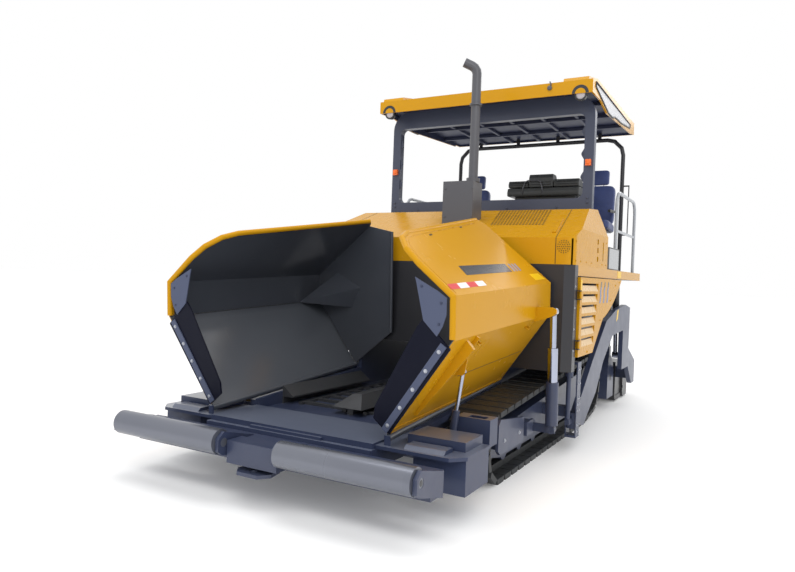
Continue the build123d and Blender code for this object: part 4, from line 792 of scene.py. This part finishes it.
def canopy_fittings():
    """Side inserts painted pale grey as a reflection of the sky, ribs under the roof, lamp rings, and lugs
    on the front frame.
    """
    # painted reflection: the inserts are pale grey film for the sky's reflection
    inserts = Shape()
    for side in (1, -1):
        edge = ((0.42, 3.835), (0.40, 3.795), (1.05, 3.662), (1.30, 3.664), (1.45, 3.700), (1.85, 3.715),
                (2.40, 3.775), (2.42, 3.812))
        inserts.prism([(side * (ROOF_SIDE - HAIR), y, z) for y, z in edge], (side * 0.0012, 0, 0))
    inserts.piece("canopy_side_inserts", INSERT_SKY_REFLECTION, "chassis", "light_grey_paint")
    lines = Shape()
    for side in (1, -1):
        edge = ((0.41, 3.842), (0.395, 3.790), (1.05, 3.656), (1.30, 3.657), (1.45, 3.694), (1.85, 3.708),
                (2.41, 3.769), (2.43, 3.818), (0.41, 3.842))
        lines.tube([(side * (ROOF_SIDE + HAIR), y, z) for y, z in edge], 0.013, 6)
    lines.piece("canopy_insert_seals", PLASTIC, "chassis", "black_plastic", smooth=True)
    ribs = Shape()
    for x in (-0.86, -0.43, 0.0, 0.43, 0.86):
        ribs.box((x - 0.02, 0.60, 3.735), (x + 0.02, 2.70, ROOF_LINING - 0.0005))
    for y in (0.95, 1.55, 2.15):
        ribs.box((-1.30, y - 0.02, 3.725), (1.30, y + 0.02, ROOF_LINING - 0.0005))
    ribs.piece("canopy_ribs", ROOF_RIBS, "chassis", "dark_paint", bevel=0.004)
    rings, lenses, hoods = Shape(), Shape(), Shape()
    for side in (1, -1):
        x, z = side * 1.2, 3.69
        dome = [(0.052, 0.0), (0.046, 0.006), (0.028, 0.0095), (0.004, 0.0105)]
        lenses.ring((x, LAMP_FACE - HAIR, z), (0, -1, 0), dome, 24)
        turns = [2 * pi * k / 24 for k in range(25)]
        rings.tube([(x + 0.059 * cos(a), LAMP_FACE - 0.0015, z + 0.059 * sin(a)) for a in turns], 0.009, 8)
        half_turns = [pi * k / 14 for k in range(15)]
        arch = [(0.092 * cos(a), 0.092 * sin(a)) for a in half_turns]
        arch += [(0.058 * cos(a), 0.058 * sin(a)) for a in half_turns[::-1]]
        hoods.prism([(x + a, ROOF_FRONT - 0.0008, z + 0.01 + b) for a, b in arch], (0, 0.0015, 0))
    hoods.piece("work_lamp_hoods", PLASTIC, "chassis", "black_plastic")
    rings.piece("work_lamp_rings", PLASTIC, "chassis", "black_plastic", smooth=True)
    lenses.piece("work_lamp_lenses", CLEAR_LENS, "chassis", "lamp_lens", smooth=True)
    lugs = Shape()
    for side in (1, -1):
        x, y = side * LEG_INNER, LEG_FRONT + 0.012
        for z in (2.84, 3.10, 3.355):
            edge = ((0.0, 0.075), (0.034, 0.018), (0.040, 0.0), (0.034, -0.018), (0.0, -0.075))
            lugs.prism([(x - side * a, y, z + b) for a, b in edge], (0, 0.008, 0))
            lugs.ring((x - side * 0.022, y, z), (0, -1, 0), [(0.009, 0.0), (0.009, 0.006)], 10)
    lugs.piece("front_frame_lugs", FRAME_PAINT, "chassis", "grey_paint")
    markers, dome = Shape(), [(0.024, 0.0), (0.024, 0.006), (0.016, 0.010)]
    for side in (1, -1):
        markers.ring((side * LEG_MIDDLE, 0.5445, 2.995), (0, -1, 0), dome, 16)
    markers.piece("marker_lamp_lenses", ORANGE_LENS, "chassis", "lamp_lens", smooth=True)
    hook, knob = Shape(), [(0.026, 0.0), (0.026, 0.014), (0.018, 0.018)]
    hook.ring((0.86, ROOF_FRONT + 0.0005, 3.79), (0, -1, 0), knob, 16)
    hook.tube([(0.86, 0.262, 3.79), (0.875, 0.262, 3.83), (0.86, 0.262, 3.86)], 0.008, 8)
    hook.piece("canopy_front_latch", STACK_PAINT, "chassis", "dark_paint", smooth=True)
    joints = Shape()
    for side in (1, -1):
        for z in (2.55, 2.60):
            joints.bolt((side * LEG_MIDDLE, LEG_FRONT - 0.0005, z), (0, -1, 0), 0.012)
    for x in (-0.9, -0.3, 0.3, 0.9):
        joints.bolt((x, LEG_FRONT - 0.0005, 2.50), (0, -1, 0), 0.010)
    joints.piece("front_frame_bolts", FRAME_PAINT, "chassis", "grey_paint")


def exhaust_fittings():
    """Bolts of the exhaust's shield."""
    shield_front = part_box("exhaust")[0][1] - HAIR
    bolts = Shape()
    for x in (-0.02, 0.29):
        for z in (2.30, 2.60):
            bolts.bolt((x, shield_front, z), (0, -1, 0), 0.008)
    bolts.piece("exhaust_shield_bolts", STACK_PAINT, "chassis", "dark_paint")


def console_desk():
    """Operator's desk: pedestal, two lidded instrument boxes, screens, levers and a guard bow."""
    stand = Shape().box((0.06, 1.52, 1.800), (0.86, 1.69, 2.755))
    stand.box((0.02, 1.46, 1.800), (0.90, 1.72, 1.83))
    stand.box((0.20, 1.50, 2.10), (0.72, 1.515, 2.62))
    made = stand.piece("desk_pedestal", DESK, "chassis", "black_plastic", bevel=0.012)
    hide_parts("console")
    edge = ((1.42, 2.752), (1.41, 2.80), (1.43, 2.86), (1.74, 2.86), (1.755, 2.80), (1.74, 2.752))
    tray = Shape().prism([(-0.015, y, z) for y, z in edge], (0.95, 0, 0))
    tray.piece("desk_tray", DESK, "chassis", "black_plastic", bevel=0.014)
    lids = Shape()
    for x0, x1, top in ((-0.01, 0.27, 2.955), (0.27, 0.60, 3.035), (0.60, 0.935, 2.965)):
        edge = ((1.435, 2.868), (1.425, top - 0.05), (1.45, top), (1.58, top), (1.72, 2.885), (1.72, 2.868))
        lids.prism([(x0 + 0.006, y, z) for y, z in edge], (x1 - x0 - 0.012, 0, 0))
    lids.piece("desk_lids", DESK, "chassis", "black_plastic", bevel=0.016)
    ribs = Shape()
    for z in (2.895, 2.925):
        for x0, x1 in ((0.02, 0.24), (0.30, 0.57), (0.63, 0.905)):
            ribs.box((x0, 1.4225, z), (x1, 1.436, z + 0.010))
    ribs.piece("desk_lid_ribs", PLASTIC, "chassis", "black_plastic", bevel=0.003)
    screens = Shape()
    for x0, x1, top in ((0.05, 0.22, 2.945), (0.32, 0.55, 2.985), (0.66, 0.86, 2.945)):
        screens.prism([(x0, 1.605, top), (x1, 1.605, top), (x1, 1.685, 2.915), (x0, 1.685, 2.915)],
                      (0, 0.004, 0.006))
    screens.piece("desk_screens", GLASS_PANEL, "chassis", "black_plastic")
    line = [(0.20, 1.418, 2.775), (0.205, 1.412, 2.86), (0.235, 1.410, 2.935), (0.27, 1.410, 2.952),
            (0.40, 1.410, 2.952), (0.435, 1.410, 2.935), (0.46, 1.412, 2.86), (0.465, 1.418, 2.775)]
    bow = Shape().tube(line, 0.009, 10)
    bow.piece("desk_guard_bow", STACK_PAINT, "chassis", "light_grey_paint", smooth=True)
    levers = Shape()
    lever = [(0.018, 0.0), (0.016, 0.012), (0.006, 0.016), (0.006, 0.065), (0.013, 0.072), (0.016, 0.092),
             (0.010, 0.105)]
    for x in (0.12, 0.44, 0.78):
        levers.ring((x, 1.70, 2.89), (0, 0.25, 1), lever, 14)
    levers.piece("desk_levers", PLASTIC, "chassis", "black_plastic", smooth=True)


PAD_TILT, BACK_TILT = radians(-96.0), radians(-5.5)


def cushion(name, centre, size, tilt, crown, seams=()):
    """A stuffed pad: rounded, crowned on both faces, drawn in between its corners, with sewn channels."""
    mesh = bmesh.new()
    bmesh.ops.create_cube(mesh, size=2.0)
    bmesh.ops.subdivide_edges(mesh, edges=mesh.edges[:], cuts=13, use_grid_fill=True)
    half = Vector(size) * 0.5
    turn = Matrix.Rotation(tilt, 3, "X")
    for vert in mesh.verts:
        u, v, w = vert.co
        corner = 1 - 0.10 * (abs(u) ** 6 * abs(w) ** 6)
        corner -= 0.06 * (abs(v) ** 4) * (abs(u) ** 4 + abs(w) ** 4) * 0.5
        waist = 1 - 0.035 * (1 - w * w) * abs(u) ** 8
        lift = 1 - crown + crown * (1 - u * u) * (1 - w * w)
        groove = sum(0.10 * max(0.0, 1 - abs(w - seam) / 0.07) for seam in seams)
        local = Vector((u * half.x * corner * waist, v * half.y * max(0.55, lift - groove * abs(v)),
                        w * half.z * corner))
        vert.co = turn @ local + Vector(centre)
    data = bpy.data.meshes.new(name)
    bmesh.ops.recalc_face_normals(mesh, faces=mesh.faces)
    mesh.to_mesh(data)
    mesh.free()
    data.polygons.foreach_set("use_smooth", [True] * len(data.polygons))
    made = bpy.data.objects.new(name, data)
    bpy.context.collection.objects.link(made)
    data.materials.append(VINYL.material)
    soft = made.modifiers.new("soft_edges", "SUBSURF")
    soft.levels = soft.render_levels = 1
    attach(made, "chassis")
    return made


def seats():
    """Two sprung seats: cushion, backrest, headrest, armrests and bellows pedestal."""
    for name, x in (("left", 1.0), ("right", -0.8)):
        pad = cushion(f"seat_cushion_{name}", (x, 2.02, 2.40), (0.47, 0.125, 0.45), PAD_TILT, 0.22,
                      (-0.35, 0.35))
        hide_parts("seats")
        cushion(f"seat_back_{name}", (x, 2.235, 2.70), (0.44, 0.115, 0.54), BACK_TILT, 0.24,
                (-0.45, 0.0, 0.45))
        cushion(f"seat_headrest_{name}", (x, 2.275, 3.085), (0.255, 0.072, 0.20), BACK_TILT, 0.25)
        arms = Shape()
        for side in (1, -1):
            edge = ((1.90, 2.575), (1.90, 2.600), (1.93, 2.615), (2.20, 2.630), (2.20, 2.595))
            arms.prism([(x + side * 0.215 - 0.02, y, z) for y, z in edge], (0.04, 0, 0))
        arms.piece(f"seat_armrests_{name}", PLASTIC, "chassis", "black_plastic", bevel=0.009)
        stand = Shape()
        stand.box((x - 0.19, 1.82, 2.325), (x + 0.19, 2.22, 2.345))
        for i in range(6):  # folds of the bellows
            z = 2.29 - 0.045 * i
            grow = 0.0 if i % 2 else 0.02
            stand.box((x - 0.10 - grow, 1.92 - grow, z - 0.02), (x + 0.10 + grow, 2.12 + grow, z + 0.02))
        stand.box((x - 0.09, 1.93, 1.83), (x + 0.09, 2.11, 2.06))
        stand.box((x - 0.118, 1.902, 1.801), (x + 0.118, 2.138, 1.83))
        stand.piece(f"seat_pedestal_{name}", PLASTIC, "chassis", "black_plastic", bevel=0.008)
        posts = Shape()
        for side in (1, -1):
            posts.tube([(x + side * 0.055, 2.262, 2.955), (x + side * 0.055, 2.270, 3.01)], 0.006, 8)
        posts.piece(f"headrest_posts_{name}", CHROME, "chassis", "chrome", smooth=True)


# ------------------------------------------------------------------ lower works
def chassis_bolts():
    """Bolt rows of the guide posts, bulkhead, front platform and track frames."""
    bolts = Shape()
    for side in (1, -1):
        for z in (0.20, 0.26, 0.40, 0.46, 0.52, 0.66, 0.80):
            bolts.bolt((side * (FLANK - HAIR), -0.528, z), (side, 0, 0), 0.009)
            bolts.bolt((side * (FLANK - HAIR), -0.462, z), (side, 0, 0), 0.009)
        for z in (1.00, 1.20, 1.40, 1.60):
            bolts.bolt((side * (FLANK - HAIR), -0.785, z), (side, 0, 0), 0.008)
        for x in (0.35, 0.60, 0.85, 1.10):
            bolts.bolt((side * x, PLATFORM_FRONT + HAIR, 0.37), (0, -1, 0), 0.010)
        for y in (-1.95, -1.60):
            bolts.bolt((side * (TRACK_SIDE - HAIR), y, 0.36), (side, 0, 0), 0.011)
    bolts.piece("frame_bolts", ZINC, "chassis", "grey_paint")


def roller_ends():
    """Grease caps on the ends of the push rollers' shafts."""
    for name, side in SIDES:
        caps = Shape()
        caps.ring((side * 1.3285, -3.48, 0.415), (side, 0, 0), [(0.020, 0.0), (0.018, 0.0012)], 20)
        caps.piece(f"roller_cap_{name}", WORN_STEEL, f"push_roller_{name}", "worn_steel", smooth=True)


# ------------------------------------------------------------------ stage
def studio():
    """Pale floor, white surroundings and soft lights."""
    bpy.ops.mesh.primitive_plane_add(size=400, location=(0, 0, 0))
    floor = bpy.context.object
    floor.name = "studio_floor"
    white = (1.0, 1.0, 1.0, 1.0)
    pale = Finish("studio_floor", Roughness=0.9, Emission_Color=white, Emission_Strength=0.10)
    pale.set("Base Color", pale.mix(pale.noise(0.4) * 0.1, (0.92, 0.92, 0.92), (0.90, 0.90, 0.90)))
    floor.data.materials.append(pale.material)
    world = bpy.data.worlds.new("studio")
    world.use_nodes = True
    sky = world.node_tree.nodes["Background"]
    sky.inputs[0].default_value, sky.inputs[1].default_value = white, 1.0
    bpy.context.scene.world = world
    lights = (  # name, watts, width, place, aim
        ("key_light", 330, 7.0, (7.0, -10.0, 9.0), (0.0, 0.0, 1.5)),
        ("top_light", 300, 6.0, (-1.0, -2.5, 11.0), (0.0, -1.5, 1.0)),
        ("rear_light", 300, 7.0, (3.0, 10.0, 9.0), (0.0, 0.0, 1.5)),
    )
    for name, watts, width, place, aim in lights:
        data = bpy.data.lights.new(name, "AREA")
        data.energy, data.size = watts, width
        lamp = bpy.data.objects.new(name, data)
        bpy.context.collection.objects.link(lamp)
        lamp.location = place
        lamp.rotation_euler = (Vector(aim) - Vector(place)).to_track_quat("-Z", "Y").to_euler()


def camera():
    """Eye level, ahead and to the left of the machine."""
    place = Vector((3.065, -6.9439, 1.6188))
    yaw, pitch, roll = radians(29.326), radians(0.709), radians(2.136)
    ahead = Vector((-sin(yaw) * cos(pitch), cos(yaw) * cos(pitch), -sin(pitch)))
    right = Vector((cos(yaw), sin(yaw), 0.0))
    up = right.cross(ahead)
    turned_right = cos(roll) * right + sin(roll) * up
    turned_up = -sin(roll) * right + cos(roll) * up
    data = bpy.data.cameras.new("camera")
    data.sensor_width, data.lens = 36.0, 29.892
    data.clip_start, data.clip_end = 0.05, 200.0
    eye = bpy.data.objects.new("camera", data)
    bpy.context.collection.objects.link(eye)
    eye.matrix_world = Matrix.Translation(place) @ Matrix(
        (turned_right, turned_up, -ahead)
    ).transposed().to_4x4()
    bpy.context.scene.camera = eye


for side_name, side in SIDES:
    wing_fittings(side_name, side)
    door_fittings(side_name, side)
hood_fittings()
body_labels()
canopy_fittings()
exhaust_fittings()
console_desk()
seats()
chassis_bolts()
roller_ends()
studio()
camera()
bpy.context.scene.view_settings.view_transform = "Standard"

bpy.context.view_layer.update()
